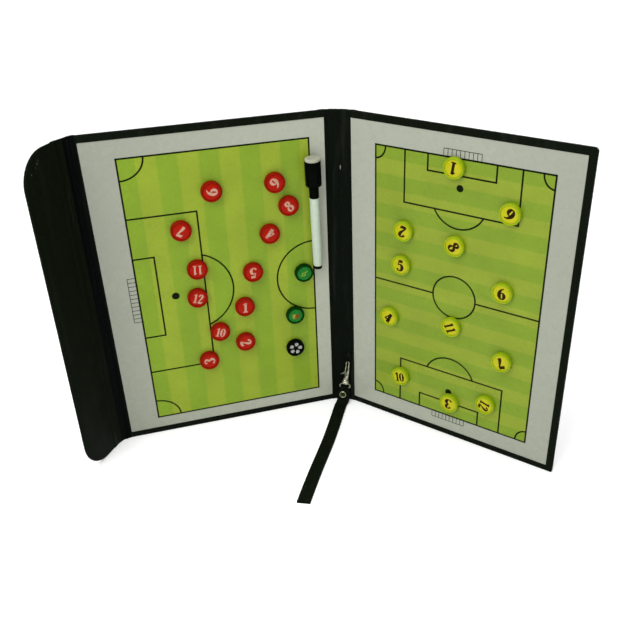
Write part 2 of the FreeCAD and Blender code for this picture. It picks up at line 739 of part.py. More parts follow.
def hook_tab():
    """The tab on the spine: a flat foot on the lining and an ear with the hole that carries the hook."""
    half_foot = "Dim.tab_foot_width / 2"
    foot_front = f"({FACE} - Dim.tab_foot_thickness)"
    foot = slab(
        "tab_foot",
        f"(Dim.hook_offset - {half_foot})",
        f"(Dim.hook_offset + {half_foot})",
        foot_front,
        FACE,
        "(Dim.tab_height - Dim.tab_foot_below)",
        "(Dim.tab_height + Dim.tab_foot_above)",
    )
    left = "(Dim.hook_offset - Dim.tab_thickness / 2)"
    right = "(Dim.hook_offset + Dim.tab_thickness / 2)"
    low = "(Dim.tab_height - Dim.tab_ear_radius)"
    high = "(Dim.tab_height + Dim.tab_ear_radius)"
    ear = slab("tab_ear", left, right, "(-Dim.hook_stand)", FACE, low, high)
    centre = (left, "-Dim.hook_stand", "Dim.tab_height")
    end = rod("tab_end", "Dim.tab_ear_radius", "Dim.tab_thickness", *centre, ALONG_X)
    hole_radius = "Dim.hook_wire + Dim.tab_hole_clearance"
    hole = rod("tab_hole", hole_radius, "Dim.tab_thickness", *centre, ALONG_X)
    keep(cut("hook_tab", fuse("tab_blank", foot, ear, end), hole), "hook_tab")


def strap(hook_place):
    """The wrist strap: doubled round the eye's bar, riveted, bent to the floor and lying along it."""
    thick = size("2 * Dim.strap_layer")
    bend = size("Dim.strap_bend")
    slope = math.radians(size("Dim.strap_slope"))
    reach = size("Dim.strap_reach")
    eye_bar = hook_place.multVec(at(z="-Dim.eye_drop").Base)
    bar_axis = hook_place.Rotation.multVec(ACROSS)
    centre_x = eye_bar.x - size("Dim.strap_shift")
    rise = FreeCAD.Vector(0, math.cos(slope), math.sin(slope))
    outward = FreeCAD.Vector(0, -math.sin(slope), math.cos(slope))
    loop_radius = size("Dim.eye_wire + Dim.strap_eye_clearance + Dim.strap_layer")
    below = math.sqrt(loop_radius ** 2 - (thick / 2) ** 2)
    floor_end = eye_bar.y - ((eye_bar.z - bend) * rise.y + bend - thick / 2) / rise.z
    hub = FreeCAD.Vector(eye_bar.x, floor_end, bend)

    def bend_arc(radius):
        halfway = FreeCAD.Vector(0, math.sin(slope / 2), -math.cos(slope / 2))
        return hub - UP * radius, hub + halfway * radius, hub - outward * radius

    low_start, low_middle, low_end = bend_arc(bend)
    high_start, high_middle, high_end = bend_arc(bend - thick)
    back_top = eye_bar - outward * (thick / 2) - rise * below
    front_top = eye_bar + outward * (thick / 2) - rise * below
    overrun = size("Dim.overrun")
    tip = FreeCAD.Vector(eye_bar.x, -reach - overrun, 0)
    edges = [
        Part.LineSegment(tip, low_start),
        Part.Arc(low_start, low_middle, low_end),
        Part.LineSegment(low_end, back_top),
        Part.Arc(back_top, eye_bar + rise * loop_radius, front_top),
        Part.LineSegment(front_top, high_end),
        Part.Arc(high_end, high_middle, high_start),
        Part.LineSegment(high_start, tip + UP * thick),
        Part.LineSegment(tip + UP * thick, tip),
    ]
    side_face = Part.Face(Part.Wire([edge.toShape() for edge in edges]))
    wide = size("2 * Dim.strap_reach")
    side = side_face.extrude(ACROSS * wide)
    side.translate(ACROSS * (-wide / 2))

    left_edge = []
    right_edge = []
    for drift_share, forward_share, width_share in STRAP_ROUTE_SHARES:
        half = width_share * size("Dim.strap_width / 2")
        x = centre_x - drift_share * reach
        left_edge.append(FreeCAD.Vector(x - half, -forward_share * reach, 0))
        right_edge.append(FreeCAD.Vector(x + half, -forward_share * reach, 0))
    curves = []
    for points in (left_edge, right_edge):
        curve = Part.BSplineCurve()
        curve.interpolate(points)
        curves.append(curve.toShape())
    ends = [Part.makeLine(left_edge[end], right_edge[end]) for end in (0, -1)]
    plan = Part.Face(Part.Wire(Part.__sortEdges__([*curves, *ends]))).extrude(UP * (overrun + wide))
    plan.translate(UP * -overrun)

    bar_room = size("Dim.eye_wire + Dim.strap_eye_clearance")
    bar_hole = Part.makeCylinder(bar_room, wide, eye_bar - bar_axis * (wide / 2), bar_axis)
    rivet_foot = eye_bar - rise * size("Dim.rivet_drop") - ACROSS * size("Dim.rivet_shift")
    rivet_back = rivet_foot - outward * size("Dim.strap_layer + Dim.rivet_cap")
    rivet_front = rivet_foot + outward * size("Dim.strap_layer")
    post_start = rivet_foot - outward * (wide / 2)
    post_hole = Part.makeCylinder(size("Dim.rivet_post_radius"), wide, post_start, outward)
    seat_size = (size("Dim.rivet_radius"), size("Dim.rivet_cap"))
    seats = [Part.makeCylinder(*seat_size, start, outward) for start in (rivet_back, rivet_front)]
    leather = side.common(plan).cut([bar_hole, post_hole, *seats]).removeSplitter()
    upright = [edge for edge in leather.Edges if math.isclose(edge.Length, thick, rel_tol=TOLERANCE_SHARE)]
    tips = [edge for edge in upright if edge.CenterOfMass.y < floor_end]
    band = doc.addObject("Part::Feature", "wrist_strap_band")
    band.Shape = leather.makeFillet(size("Dim.strap_corner"), tips)
    keep(band, "wrist_strap")

    caps = "Dim.rivet_cap"
    post = "Dim.rivet_post_radius"
    inner = f"({caps} + 2 * Dim.strap_layer)"
    dome_up = [(f"{r} * Dim.rivet_radius", f"{inner} + {z} * {caps}") for r, z in DOME_SHARES]
    dome_down = [(f"{r} * Dim.rivet_radius", f"{caps} - {z} * {caps}") for r, z in reversed(DOME_SHARES)]
    corners = (("0", "0"), *dome_down, (post, caps), (post, inner), *dome_up, ("0", f"{inner} + {caps}"))
    lean = FreeCAD.Rotation(ACROSS, size("Dim.strap_slope"))
    keep(turned("rivet_body", corners), "strap_rivet", FreeCAD.Placement(rivet_back, lean))


def build():
    """All sub-parts, standing open as the board is used."""
    turn = size("(180 - Dim.open_angle) / 2")
    right_place = at("Dim.spine_span / 2", rotation=FreeCAD.Rotation(UP, -turn))
    left_place = at("-Dim.spine_span / 2", rotation=FreeCAD.Rotation(UP, turn))
    gusset_turn = FreeCAD.Rotation(UP, size("Dim.gusset_angle"))
    gusset_place = left_place.multiply(at(f"-({LEFT_FAR} + {COVER_NEAR})", rotation=gusset_turn))
    flap_turn = FreeCAD.Rotation(UP, size("Dim.flap_angle"))
    flap_place = gusset_place.multiply(at("-Dim.gusset_width", rotation=flap_turn))
    hook_turn = FreeCAD.Rotation(DEEP, size("Dim.hook_lean"))
    hook_ring = at("Dim.hook_offset", "-Dim.hook_stand", "Dim.tab_height", hook_turn)
    hook_place = hook_ring.multiply(at(z="-Dim.hook_length"))
    spine()
    cover("left", -1, LEFT_FAR, left_place)
    cover("right", 1, RIGHT_FAR, right_place)
    flap(gusset_place, flap_place)
    counters(left_place, right_place)
    pen(left_place)
    hook_tab()
    snap_hook(hook_place)
    swivel_eye(hook_place)
    strap(hook_place)


build()
doc.recompute()
for thing in doc.Objects:
    if "Invalid" in thing.State or "Error" in thing.State:
        raise RuntimeError(f"{thing.Label} could not be made")
for piece in pieces:
    if piece.Shape.isNull() or not piece.Shape.isValid():
        raise RuntimeError(f"{piece.Label} has no sound shape")
os.makedirs("parts", exist_ok=True)
for piece in pieces:
    piece.Shape.exportStep(os.path.join("parts", f"{piece.Label}.step"))
print(len(pieces), "sub-parts written")
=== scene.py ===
import math
import bmesh
import bpy
from mathutils import Matrix, Vector


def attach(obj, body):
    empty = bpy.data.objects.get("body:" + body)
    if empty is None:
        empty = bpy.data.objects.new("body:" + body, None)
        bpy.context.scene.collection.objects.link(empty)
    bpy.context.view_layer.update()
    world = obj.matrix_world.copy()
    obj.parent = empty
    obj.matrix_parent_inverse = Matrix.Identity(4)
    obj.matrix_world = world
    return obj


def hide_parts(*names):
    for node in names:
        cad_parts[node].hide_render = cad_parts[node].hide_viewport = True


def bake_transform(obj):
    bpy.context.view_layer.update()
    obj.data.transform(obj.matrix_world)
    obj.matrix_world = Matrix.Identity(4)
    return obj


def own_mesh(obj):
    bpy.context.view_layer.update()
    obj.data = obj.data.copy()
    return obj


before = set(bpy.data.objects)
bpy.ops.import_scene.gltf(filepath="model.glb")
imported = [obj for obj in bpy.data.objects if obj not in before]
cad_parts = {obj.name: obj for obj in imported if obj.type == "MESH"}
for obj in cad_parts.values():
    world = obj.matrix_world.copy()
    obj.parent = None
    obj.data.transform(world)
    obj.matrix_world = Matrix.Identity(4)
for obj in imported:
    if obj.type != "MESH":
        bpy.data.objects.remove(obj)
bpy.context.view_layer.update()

# Sizes are in millimetres and angles in degrees, as on the solids. Meshes are made in metres.
MM = 0.001
SHEET_WIDTH = 210.0
SHEET_HEIGHT = 297.0
BORDER = 6.2
FLAP_SIDE_BORDER = 4.6
SHEET_NEAR = 2.6
COVER_NEAR = 1.5
CREASE_RADIUS = 1.2
SPINE_HALF = 10.0
COVER_TURN = 25.0
GUSSET_WIDTH = 12.8
GUSSET_TURN = 40.2
FLAP_TURN = 14.0
FLAP_WIDTH = 45.1
FLAP_CORNER = 29.0
SHEET_FAR = SHEET_NEAR + SHEET_WIDTH
SHEET_TOP = BORDER + SHEET_HEIGHT
HEIGHT = SHEET_TOP + BORDER
LEFT_FAR = SHEET_FAR + FLAP_SIDE_BORDER
RIGHT_FAR = SHEET_FAR + BORDER
FACE = -CREASE_RADIUS

SIDES = 56
WIRE_SIDES = 20
ARC_STEP = 6.0
RING_END = 360 - ARC_STEP
SHARP_ANGLE = 38.0
LEAST_CORNER = 0.05


def at(x=0.0, y=0.0, z=0.0):
    """A shift, given in millimetres."""
    return Matrix.Translation(Vector((x, y, z)) * MM)


def turn(degrees, axis="Z"):
    """A turn about one of the axes."""
    return Matrix.Rotation(math.radians(degrees), 4, axis)


LEFT = at(-SPINE_HALF) @ turn(COVER_TURN)
RIGHT = at(SPINE_HALF) @ turn(-COVER_TURN)
GUSSET = LEFT @ at(-LEFT_FAR - COVER_NEAR) @ turn(GUSSET_TURN)
FLAP = GUSSET @ at(-GUSSET_WIDTH) @ turn(FLAP_TURN)
WORLD = Matrix.Identity(4)


def turns(count):
    """That many angles, evenly round a circle."""
    return [math.tau * step / count for step in range(count)]


def turned(x, y, degrees):
    """A flat place turned about the middle."""
    cos, sin = math.cos(math.radians(degrees)), math.sin(math.radians(degrees))
    return x * cos - y * sin, x * sin + y * cos


class Shape:
    """Points in millimetres and faces, each face with the number of its material."""

    def __init__(self):
        self.points = []
        self.faces = []
        self.slots = []

    def loft(self, loops, slot=0, ring=False):
        """Walls through loops of equal length, either capped at both ends or closed to a ring."""
        first = len(self.points)
        count = len(loops[0])
        levels = len(loops)
        faces = []
        for level in range(levels if ring else levels - 1):
            low = first + level * count
            high = first + (level + 1) % levels * count
            for here in range(count):
                there = (here + 1) % count
                faces.append((low + here, low + there, high + there, high + here))
        if not ring:
            last = first + (levels - 1) * count
            faces.append(tuple(reversed(range(first, first + count))))
            faces.append(tuple(range(last, last + count)))
        self.points += [point for loop in loops for point in loop]
        self.faces += faces
        self.slots += [slot] * len(faces)
        return self

    def lathe(self, profile, slot=0):
        """A turned form from a profile of radius and height."""
        return self.loft([circle(radius, height) for radius, height in profile], slot)

    def prism(self, outline, low, high, slot=0):
        """An upright block on a flat outline."""
        return self.loft([[(x, y, z) for x, y in outline] for z in (low, high)], slot)

    def slab(self, left, right, near, far, low, high):
        """An upright block on a rectangle."""
        return self.prism([(left, near), (right, near), (right, far), (left, far)], low, high)

    def ribbon(self, line, low, high, slot=0, ring=False):
        """A flat band along a line of places and widths."""
        loops = []
        for (x, y, width), (along_x, along_y) in zip(line, directions(line, ring)):
            across = (-along_y * width / 2, along_x * width / 2)
            left = (x + across[0], y + across[1])
            right = (x - across[0], y - across[1])
            loops.append([(*right, low), (*left, low), (*left, high), (*right, high)])
        self.loft(loops, slot, ring)


def sweep(shape, line, section, ring=False):
    """A section carried along a line in the upright plane."""
    loops = []
    for (x, z, *sizes), (along_x, along_z) in zip(line, directions(line, ring)):
        steps = section(*sizes)
        loops.append([(x - along_z * across, depth, z + along_x * across) for across, depth in steps])
    shape.loft(loops, 0, ring)


def wire(radius):
    """The section of a round wire."""
    return [(radius * math.cos(angle), radius * math.sin(angle)) for angle in turns(WIRE_SIDES)]


def circle(radius, height, sides=SIDES):
    """A level circle round the Z axis."""
    return [(radius * math.cos(angle), radius * math.sin(angle), height) for angle in turns(sides)]


def directions(line, ring=False):
    """The unit direction of a line at each of its places."""
    last = len(line) - 1
    found = []
    for here in range(len(line)):
        before = line[here - 1] if here or ring else line[0]
        after = line[(here + 1) % len(line)] if here < last or ring else line[last]
        run = Vector((after[0] - before[0], after[1] - before[1])).normalized()
        found.append((run.x, run.y))
    return found


def smooth(points, steps=6):
    """A smooth line through points."""
    line = []
    last = len(points) - 1
    for here in range(last):
        four = [points[min(max(here + step, 0), last)] for step in (-1, 0, 1, 2)]
        for step in range(steps):
            share = step / steps
            weights = (
                -share / 2 + share**2 - share**3 / 2,
                1 - 5 * share**2 / 2 + 3 * share**3 / 2,
                share / 2 + 2 * share**2 - 3 * share**3 / 2,
                -share**2 / 2 + share**3 / 2,
            )
            line.append(tuple(sum(w * p[i] for w, p in zip(weights, four)) for i in range(len(four[0]))))
    return line + [tuple(points[last])]


def arc(x, y, radius, start, end, width, height=None):
    """A line of places and widths round part of a circle or an oval."""
    steps = max(2, math.ceil(abs(end - start) / ARC_STEP))
    angles = [math.radians(start + (end - start) * step / steps) for step in range(steps + 1)]
    return [(x + radius * math.cos(a), y + (height or radius) * math.sin(a), width) for a in angles]


def rounded_loop(left, right, low, high, radii, depth, steps):
    """A rectangle's outline at one depth, with its own radius at each corner."""
    corners = (
        (left, low, 1, 1, 180),
        (right, low, -1, 1, 270),
        (right, high, -1, -1, 0),
        (left, high, 1, -1, 90),
    )
    loop = []
    for (x, z, to_x, to_z, start), radius in zip(corners, radii):
        for step in range(steps + 1):
            angle = math.radians(start + 90 * step / steps)
            across = x + radius * (to_x + math.cos(angle))
            loop.append((across, depth, z + radius * (to_z + math.sin(angle))))
    return loop


def rolled(left, right, low, high, corners, roll, steps=8):
    """A rectangle's outlines over a rolled edge, given as insets and depths."""
    loops = []
    for inset, depth in roll:
        radii = [max(corner - inset, LEAST_CORNER) for corner in corners]
        sides = (left + inset, right - inset, low + inset, high - inset)
        loops.append(rounded_loop(*sides, radii, depth, steps))
    return loops


def put(name, data):
    """A new object in the scene."""
    made = bpy.data.objects.new(name, data)
    bpy.context.scene.collection.objects.link(made)
    return made


def piece(name, shape, finishes, place=WORLD, body=None, replaces=(), bevel=0.0):
    """A new object of that shape, closed and shaded, riding on a body."""
    mesh = bpy.data.meshes.new(name)
    mesh.from_pydata([Vector(point) * MM for point in shape.points], [], shape.faces)
    mesh.polygons.foreach_set("material_index", shape.slots)
    form = bmesh.new()
    form.from_mesh(mesh)
    bmesh.ops.recalc_face_normals(form, faces=form.faces)
    if bevel:
        limit = math.radians(SHARP_ANGLE)
        edges = [edge for edge in form.edges if edge.calc_face_angle(0.0) > limit]
        bmesh.ops.bevel(form, geom=edges, offset=bevel * MM, segments=2, profile=0.6, affect="EDGES")
    form.to_mesh(mesh)
    form.free()
    mesh.shade_smooth()
    mesh.set_sharp_from_angle(angle=math.radians(SHARP_ANGLE))
    for finish in finishes:
        mesh.materials.append(finish)
    made = put(name, mesh)
    made.matrix_world = place
    if body:
        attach(made, body)
    if replaces:
        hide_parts(*replaces)
    return made


# The places of the colour sockets on a mixing node.
MIX_COLOURS = (6, 7)
MIX_RESULT = 2


class Paint:
    """A material or a sky in the making."""

    def __init__(self, owner, shader="Principled BSDF", place="Object", **sockets):
        owner.use_nodes = True
        self.owner = owner
        self.tree = owner.node_tree
        self.shader = self.tree.nodes[shader]
        for socket, value in sockets.items():
            self.shader.inputs[socket.replace("_", " ")].default_value = value
        self.place = self.node("TexCoord", {}).outputs[place]

    def node(self, kind, inputs, **settings):
        """A new shader node with its inputs set or linked."""
        made = self.tree.nodes.new("ShaderNode" + kind)
        for setting, value in settings.items():
            setattr(made, setting, value)
        for socket, value in inputs.items():
            if isinstance(value, bpy.types.NodeSocket):
                self.tree.links.new(value, made.inputs[socket])
            else:
                made.inputs[socket].default_value = value
        return made

    def link(self, output, socket):
        """An output led to the shader."""
        self.tree.links.new(output, self.shader.inputs[socket])

    def noise(self, size, detail=2.0, place=None):
        """Cloudy noise whose lumps are about that many millimetres across."""
        inputs = {"Vector": place or self.place, "Scale": 1 / (size * MM), "Detail": detail}
        return self.node("TexNoise", inputs).outputs["Fac"]

    def cells(self, size):
        """Round cells about that many millimetres across."""
        return self.node("TexVoronoi", {"Vector": self.place, "Scale": 1 / (size * MM)}).outputs["Distance"]

    def stretched(self, share):
        """The coordinates stretched along Z."""
        return self.node("Mapping", {"Vector": self.place, "Scale": (1.0, 1.0, share)}).outputs["Vector"]

    def along(self, axis):
        """The coordinate along one axis."""
        return self.node("SeparateXYZ", {"Vector": self.place}).outputs[axis]

    def math(self, operation, first, second):
        """One sum on two values."""
        return self.node("Math", {0: first, 1: second}, operation=operation).outputs["Value"]

    def ramp(self, factor, low, high, start=0.3, end=0.7):
        """A colour or grey that follows a factor between start and end."""
        made = self.node("ValToRGB", {"Fac": factor})
        for stop, position, value in zip(made.color_ramp.elements, (start, end), (low, high)):
            stop.position = position
            stop.color = (*value, 1.0) if isinstance(value, tuple) else (value, value, value, 1.0)
        return made.outputs["Color"]

    def mix(self, factor, first, second, blend="MIX"):
        """Two colours mixed by a factor."""
        inputs = {"Factor": factor}
        for socket, value in zip(MIX_COLOURS, (first, second)):
            inputs[socket] = (*value, 1.0) if isinstance(value, tuple) else value
        return self.node("Mix", inputs, data_type="RGBA", blend_type=blend).outputs[MIX_RESULT]

    def bump(self, height, depth, strength=1.0):
        """Relief of that many millimetres from a height."""
        inputs = {"Height": height, "Distance": depth * MM, "Strength": strength}
        self.link(self.node("Bump", inputs).outputs["Normal"], "Normal")


def material(name, **sockets):
    """A new material in the making."""
    return Paint(bpy.data.materials.new(name), **sockets)


def fleck(paint, middle, half):
    """A grey that is white inside a small oval and black outside it."""
    place = paint.place
    for operation, size in (("SUBTRACT", middle), ("DIVIDE", half)):
        inputs = {0: place, 1: tuple(value * MM for value in size)}
        place = paint.node("VectorMath", inputs, operation=operation).outputs["Vector"]
    reach = paint.node("VectorMath", {0: place}, operation="LENGTH").outputs["Value"]
    ragged = paint.math("ADD", reach, paint.math("MULTIPLY", paint.noise(0.8), 0.5))
    return paint.ramp(ragged, 1.0, 0.0, 0.7, 1.0)


def leatherette(name, grain=0.75, wrinkle=0.0, wear=1.0, flecks=(), tone=1.0):
    """Black grained leatherette with upright creases, pale flecks, and lighter upright streaks that are
    partly wear and partly painted sheen on the creases.
    """
    paint = material(name, Specular_IOR_Level=0.02)
    pores = paint.cells(grain)
    creases = paint.noise(grain * 3.2, 4.0)
    worn = paint.noise(7.0, 3.0, paint.stretched(0.06))
    # A tone below one darkens the whole leather. On the gusset's inner half this is painted crease shade.
    cool = (1 + tone) / 2
    dark = (0.0010 * tone, 0.0018 * tone, 0.0008 * cool)
    light = (0.0042 * tone, 0.0066 * tone, 0.0034 * cool)
    leather = paint.ramp(paint.math("ADD", pores, creases), dark, light, 0.55, 1.25)
    # The lighter upright streaks are painted sheen along the creases as well as wear.
    wear_and_sheen_streaks = paint.ramp(worn, (0.0, 0.0, 0.0), (0.0045 * wear, 0.0055 * wear, 0.0040 * wear), 0.56, 0.76)
    colour = paint.mix(1.0, leather, wear_and_sheen_streaks, "ADD")
    for middle, half, shade in flecks:
        colour = paint.mix(1.0, colour, paint.mix(fleck(paint, middle, half), (0.0, 0.0, 0.0), shade), "ADD")
    paint.link(colour, "Base Color")
    paint.link(paint.ramp(paint.noise(26.0, 3.0), 0.42, 0.62), "Roughness")
    relief = paint.math("ADD", pores, paint.math("MULTIPLY", creases, 0.8))
    folds = paint.noise(3.4, 2.0, paint.stretched(0.03))
    paint.bump(paint.math("ADD", relief, paint.math("MULTIPLY", folds, wrinkle)), 0.09, 0.75)
    return paint.owner


SHEET_SPAN = 220.0


def clear_film(paint, low, high):
    """The gloss and the ripples of a clear film over a print."""
    paint.link(paint.ramp(paint.noise(9.0), low, high), "Roughness")
    paint.bump(paint.noise(17.0, 1.0), 0.05, 0.5)
    return paint.owner


def laminate(name, low, high, near, far):
    """White card under a clear film, with painted shade that darkens it away from the spine."""
    paint = material(name, Specular_IOR_Level=0.25)
    # The ramp from near to far is painted shade: the card darkens towards its outer edge as the light falls
    # off.
    away = paint.math("DIVIDE", paint.math("ABSOLUTE", paint.along("X"), 0.0), SHEET_SPAN * MM)
    clouds = paint.ramp(paint.noise(38.0, 3.0), low, high, 0.25, 0.75)
    paint.link(paint.mix(1.0, clouds, paint.ramp(away, near, far, 0.05, 0.95), "MULTIPLY"), "Base Color")
    return clear_film(paint, 0.22, 0.34)


def turf(name, axis, stripe, first_edge, dark, light):
    """Mown stripes of two greens, mottled as grass, under the clear film."""
    paint = material(name, Specular_IOR_Level=0.15)
    count = paint.math("DIVIDE", paint.math("SUBTRACT", paint.along(axis), first_edge * MM), stripe * MM)
    swing = paint.math("PINGPONG", paint.math("ADD", count, 0.5), 1.0)
    mottled = paint.mix(paint.ramp(swing, 0.0, 1.0, 0.46, 0.54), dark, light)
    for size, detail, low, high in ((2.6, 5.0, 0.955, 1.03), (30.0, 2.0, 0.93, 1.05)):
        mottled = paint.mix(1.0, mottled, paint.ramp(paint.noise(size, detail), low, high), "MULTIPLY")
    paint.link(mottled, "Base Color")
    return clear_film(paint, 0.24, 0.36)


def ink(name, low, high):
    """Print ink with a little unevenness."""
    paint = material(name, Roughness=0.4, Specular_IOR_Level=0.04)
    paint.link(paint.ramp(paint.noise(1.4), low, high), "Base Color")
    return paint.owner


def plastic(name, low, high, roughness=(0.16, 0.30), gloss=0.2, subsurface=0.0):
    """Moulded plastic with slight flow marks and fine wear."""
    paint = material(name, Specular_IOR_Level=gloss, Subsurface_Weight=subsurface)
    paint.shader.inputs["Subsurface Scale"].default_value = 1.5 * MM
    paint.link(paint.ramp(paint.noise(5.0, 3.0), low, high, 0.2, 0.8), "Base Color")
    paint.link(paint.ramp(paint.noise(1.8, 4.0), *roughness), "Roughness")
    paint.bump(paint.noise(1.2), 0.012, 0.4)
    return paint.owner


def felt(name, low, high):
    """Pressed felt: soft fibres in colour and relief."""
    paint = material(name, Roughness=0.95, Sheen_Weight=0.4, Specular_IOR_Level=0.1)
    fibres = paint.noise(0.45, 6.0)
    paint.link(paint.ramp(fibres, low, high), "Base Color")
    paint.bump(fibres, 0.25, 0.9)
    return paint.owner


def metal(name, low, high, roughness=(0.16, 0.36)):
    """Plated metal with fine scratches and cloudy tarnish."""
    paint = material(name, Metallic=1.0)
    scratches = paint.noise(0.7, 5.0, paint.stretched(0.15))
    paint.link(paint.ramp(paint.noise(2.4, 4.0), low, high), "Base Color")
    paint.link(paint.ramp(scratches, *roughness), "Roughness")
    paint.bump(scratches, 0.02, 0.35)
    return paint.owner


def card(name, low, high):
    """Grey board with short fibres."""
    paint = material(name, Roughness=0.9)
    fibres = paint.noise(1.1, 6.0, paint.stretched(0.3))
    paint.link(paint.ramp(fibres, low, high), "Base Color")
    paint.bump(fibres, 0.08, 0.6)
    return paint.owner


SKIN = leatherette("leatherette_skin")
PALE = (0.20, 0.21, 0.19)
WORN = (0.050, 0.054, 0.048)
DULL = (0.020, 0.022, 0.019)
SPINE_FLECKS = (((1.69, -1.3, 257.5), (0.7, 1.0, 3.2), PALE),)
FLAP_FLECKS = (
    ((-24.8, -1.2, 301.2), (1.0, 1.0, 1.5), DULL), ((-26.7, -1.2, 299.0), (1.1, 1.0, 1.7), WORN),
    ((-29.0, -1.2, 296.4), (1.0, 1.0, 1.6), DULL), ((-35.2, -1.2, 293.0), (0.9, 1.0, 1.2), WORN),
)
# The third number after each name sets the lighter streaks, which are painted crease sheen as well as wear.
# They are strongest on the spine lining and the folded gusset.
LINING = leatherette("leatherette_lining", 0.6, 9.0, 2.2, SPINE_FLECKS, 0.75)
FOLDED = leatherette("leatherette_folded", 0.7, 9.0, 3.0)
FLAP_LEATHER = leatherette("leatherette_flap", wear=0.5, flecks=FLAP_FLECKS)
# The gusset's inner half: leather painted darker (tone 0.35) as the shade in the crease beside the left
# cover.
CREASE_SHADE_LEATHER = leatherette("leatherette_painted_crease_shade", 0.7, 9.0, 0.6, tone=0.35)
STRAP_LEATHER = leatherette("leatherette_strap", 0.5)
# The two sheets are one card, painted as lit and shaded copies. Their tones differ, and each darkens towards
# its outer edge as painted shade, the left more steeply.
LEFT_SHEET = laminate("laminated_sheet_left", (0.391, 0.413, 0.336), (0.407, 0.429, 0.350), 1.0, 0.74)
RIGHT_SHEET = laminate("laminated_sheet_right", (0.350, 0.371, 0.304), (0.365, 0.386, 0.317), 1.0, 0.87)
LINE_INK = ink("line_ink", (0.002, 0.005, 0.0005), (0.005, 0.009, 0.001))
NET_INK = ink("net_ink", (0.012, 0.016, 0.010), (0.030, 0.034, 0.024))
LEFT_TURF = turf("turf_left", "X", 17.95, 43.4, (0.199, 0.315, 0.0165), (0.255, 0.343, 0.0215))
RIGHT_TURF = turf("turf_right", "Y", 14.0, 28.0, (0.184, 0.282, 0.0175), (0.234, 0.308, 0.0235))
NICKEL = metal("plated_nickel", (0.20, 0.20, 0.13), (0.52, 0.51, 0.41))
BRASS = metal("plated_brass", (0.42, 0.42, 0.26), (0.72, 0.72, 0.54))
OLD_BRASS = metal("tarnished_brass", (0.010, 0.013, 0.003), (0.060, 0.065, 0.018), (0.4, 0.6))
STEEL = metal("bare_steel", (0.42, 0.43, 0.44), (0.60, 0.61, 0.62))
BOARD = card("grey_board", (0.20, 0.19, 0.165), (0.34, 0.32, 0.28))
MAGNET = plastic("magnet_black", (0.012, 0.012, 0.013), (0.03, 0.03, 0.03), (0.45, 0.7))
WHITE = plastic("white_plastic", (0.45, 0.53, 0.43), (0.53, 0.61, 0.50), subsurface=0.05)
BLACK = plastic("black_plastic", (0.0006, 0.0011, 0.0006), (0.0018, 0.0024, 0.0018), gloss=0.015)
# The eraser's side is painted paler than its top: painted light on the side, painted shade on the greyer top.
FELT = felt("cream_felt", (0.20, 0.205, 0.13), (0.36, 0.36, 0.26))
FELT_PAINTED_LIT_SIDE = felt("felt_painted_lit_side", (0.28, 0.285, 0.20), (0.46, 0.46, 0.35))
NIB = felt("nib_felt", (0.02, 0.02, 0.03), (0.06, 0.06, 0.08))
# The red rim is painted darker than the red label: painted shade on the rim's walls.
RED_RIM_PAINTED_SHADE = plastic("red_rim_painted_shade", (0.198, 0.004, 0.0008), (0.246, 0.007, 0.0014), gloss=0.03)
RED_FACE = plastic("red_face", (0.32, 0.006, 0.001), (0.39, 0.010, 0.002), (0.2, 0.35), 0.05)
RED_MARK = ink("red_mark", (0.46, 0.27, 0.19), (0.56, 0.34, 0.25))
YELLOW_RIM = plastic("yellow_rim", (0.240, 0.350, 0.003), (0.276, 0.386, 0.008), gloss=0.06, subsurface=0.1)
YELLOW_FACE = plastic("yellow_face", (0.43, 0.41, 0.004), (0.52, 0.49, 0.010), (0.25, 0.4), 0.12)
YELLOW_MARK = ink("yellow_mark", (0.014, 0.006, 0.001), (0.030, 0.012, 0.003))
GREEN_RIM = plastic("green_rim", (0.0008, 0.021, 0.0008), (0.0020, 0.032, 0.0020), gloss=0.02)
GREEN_FACE = plastic("green_face", (0.003, 0.12, 0.008), (0.008, 0.20, 0.020), (0.2, 0.35), 0.12)
GREEN_MARK = ink("green_mark", (0.03, 0.19, 0.02), (0.30, 0.40, 0.05))
RED_CARD = ink("red_card", (0.13, 0.045, 0.008), (0.22, 0.07, 0.015))
YELLOW_CARD = ink("yellow_card", (0.19, 0.20, 0.02), (0.30, 0.30, 0.05))
BALL_MARK = ink("ball_mark", (0.24, 0.27, 0.24), (0.40, 0.43, 0.40))

# The covers' rolled edge and the lip round the printed sheet, as insets and depths from back to front.
COVER_ROLL = (
    (1.0, 2.8), (0.5, 2.66), (0.14, 2.3), (0.0, 1.8), (0.0, -0.9), (0.1, -1.28), (0.35, -1.52), (0.7, -1.6),
)
WINDOW_LIP = ((-0.36, -1.6), (-0.12, -1.52), (0.0, -1.3), (0.0, -0.9))
COVER_CORNER = 1.0
WORN_CORNER = 3.2
LIP_CORNER = 0.8
SKIN_BEVEL = 0.3


def cover_skin(side, far, place, name, worn):
    """One cover's leatherette, seen from the front as a frame round its sheet."""
    sides = sorted((side * COVER_NEAR, side * far))
    sheet_sides = sorted((side * SHEET_NEAR, side * SHEET_FAR))
    corners = [WORN_CORNER if corner in worn else COVER_CORNER for corner in range(4)]
    loops = rolled(*sides, 0.0, HEIGHT, corners, COVER_ROLL)
    loops += rolled(*sheet_sides, BORDER, SHEET_TOP, [LIP_CORNER] * 4, WINDOW_LIP)
    body = f"{name}_cover"
    piece(f"{body}_leather", Shape().loft(loops), [SKIN], place, body, [f"{body}_skin"])


def spots(side, stretches):
    """Places of a section on one side, given in several bodies' own frames."""
    places = [place @ at(side * x, y) for place, points in stretches for x, y in points]
    return [(place.translation.x / MM, place.translation.y / MM) for place in places]


def hinge_skin(name, finish, side, replaces, front, back):
    """Soft skin over a fold: a section through its front and its back, run up the board."""
    outline = smooth(spots(side, front)) + smooth(spots(side, back))
    made = piece(name, Shape().prism(outline, 0.0, HEIGHT), [finish], bevel=SKIN_BEVEL)
    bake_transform(made)
    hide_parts(*replaces)


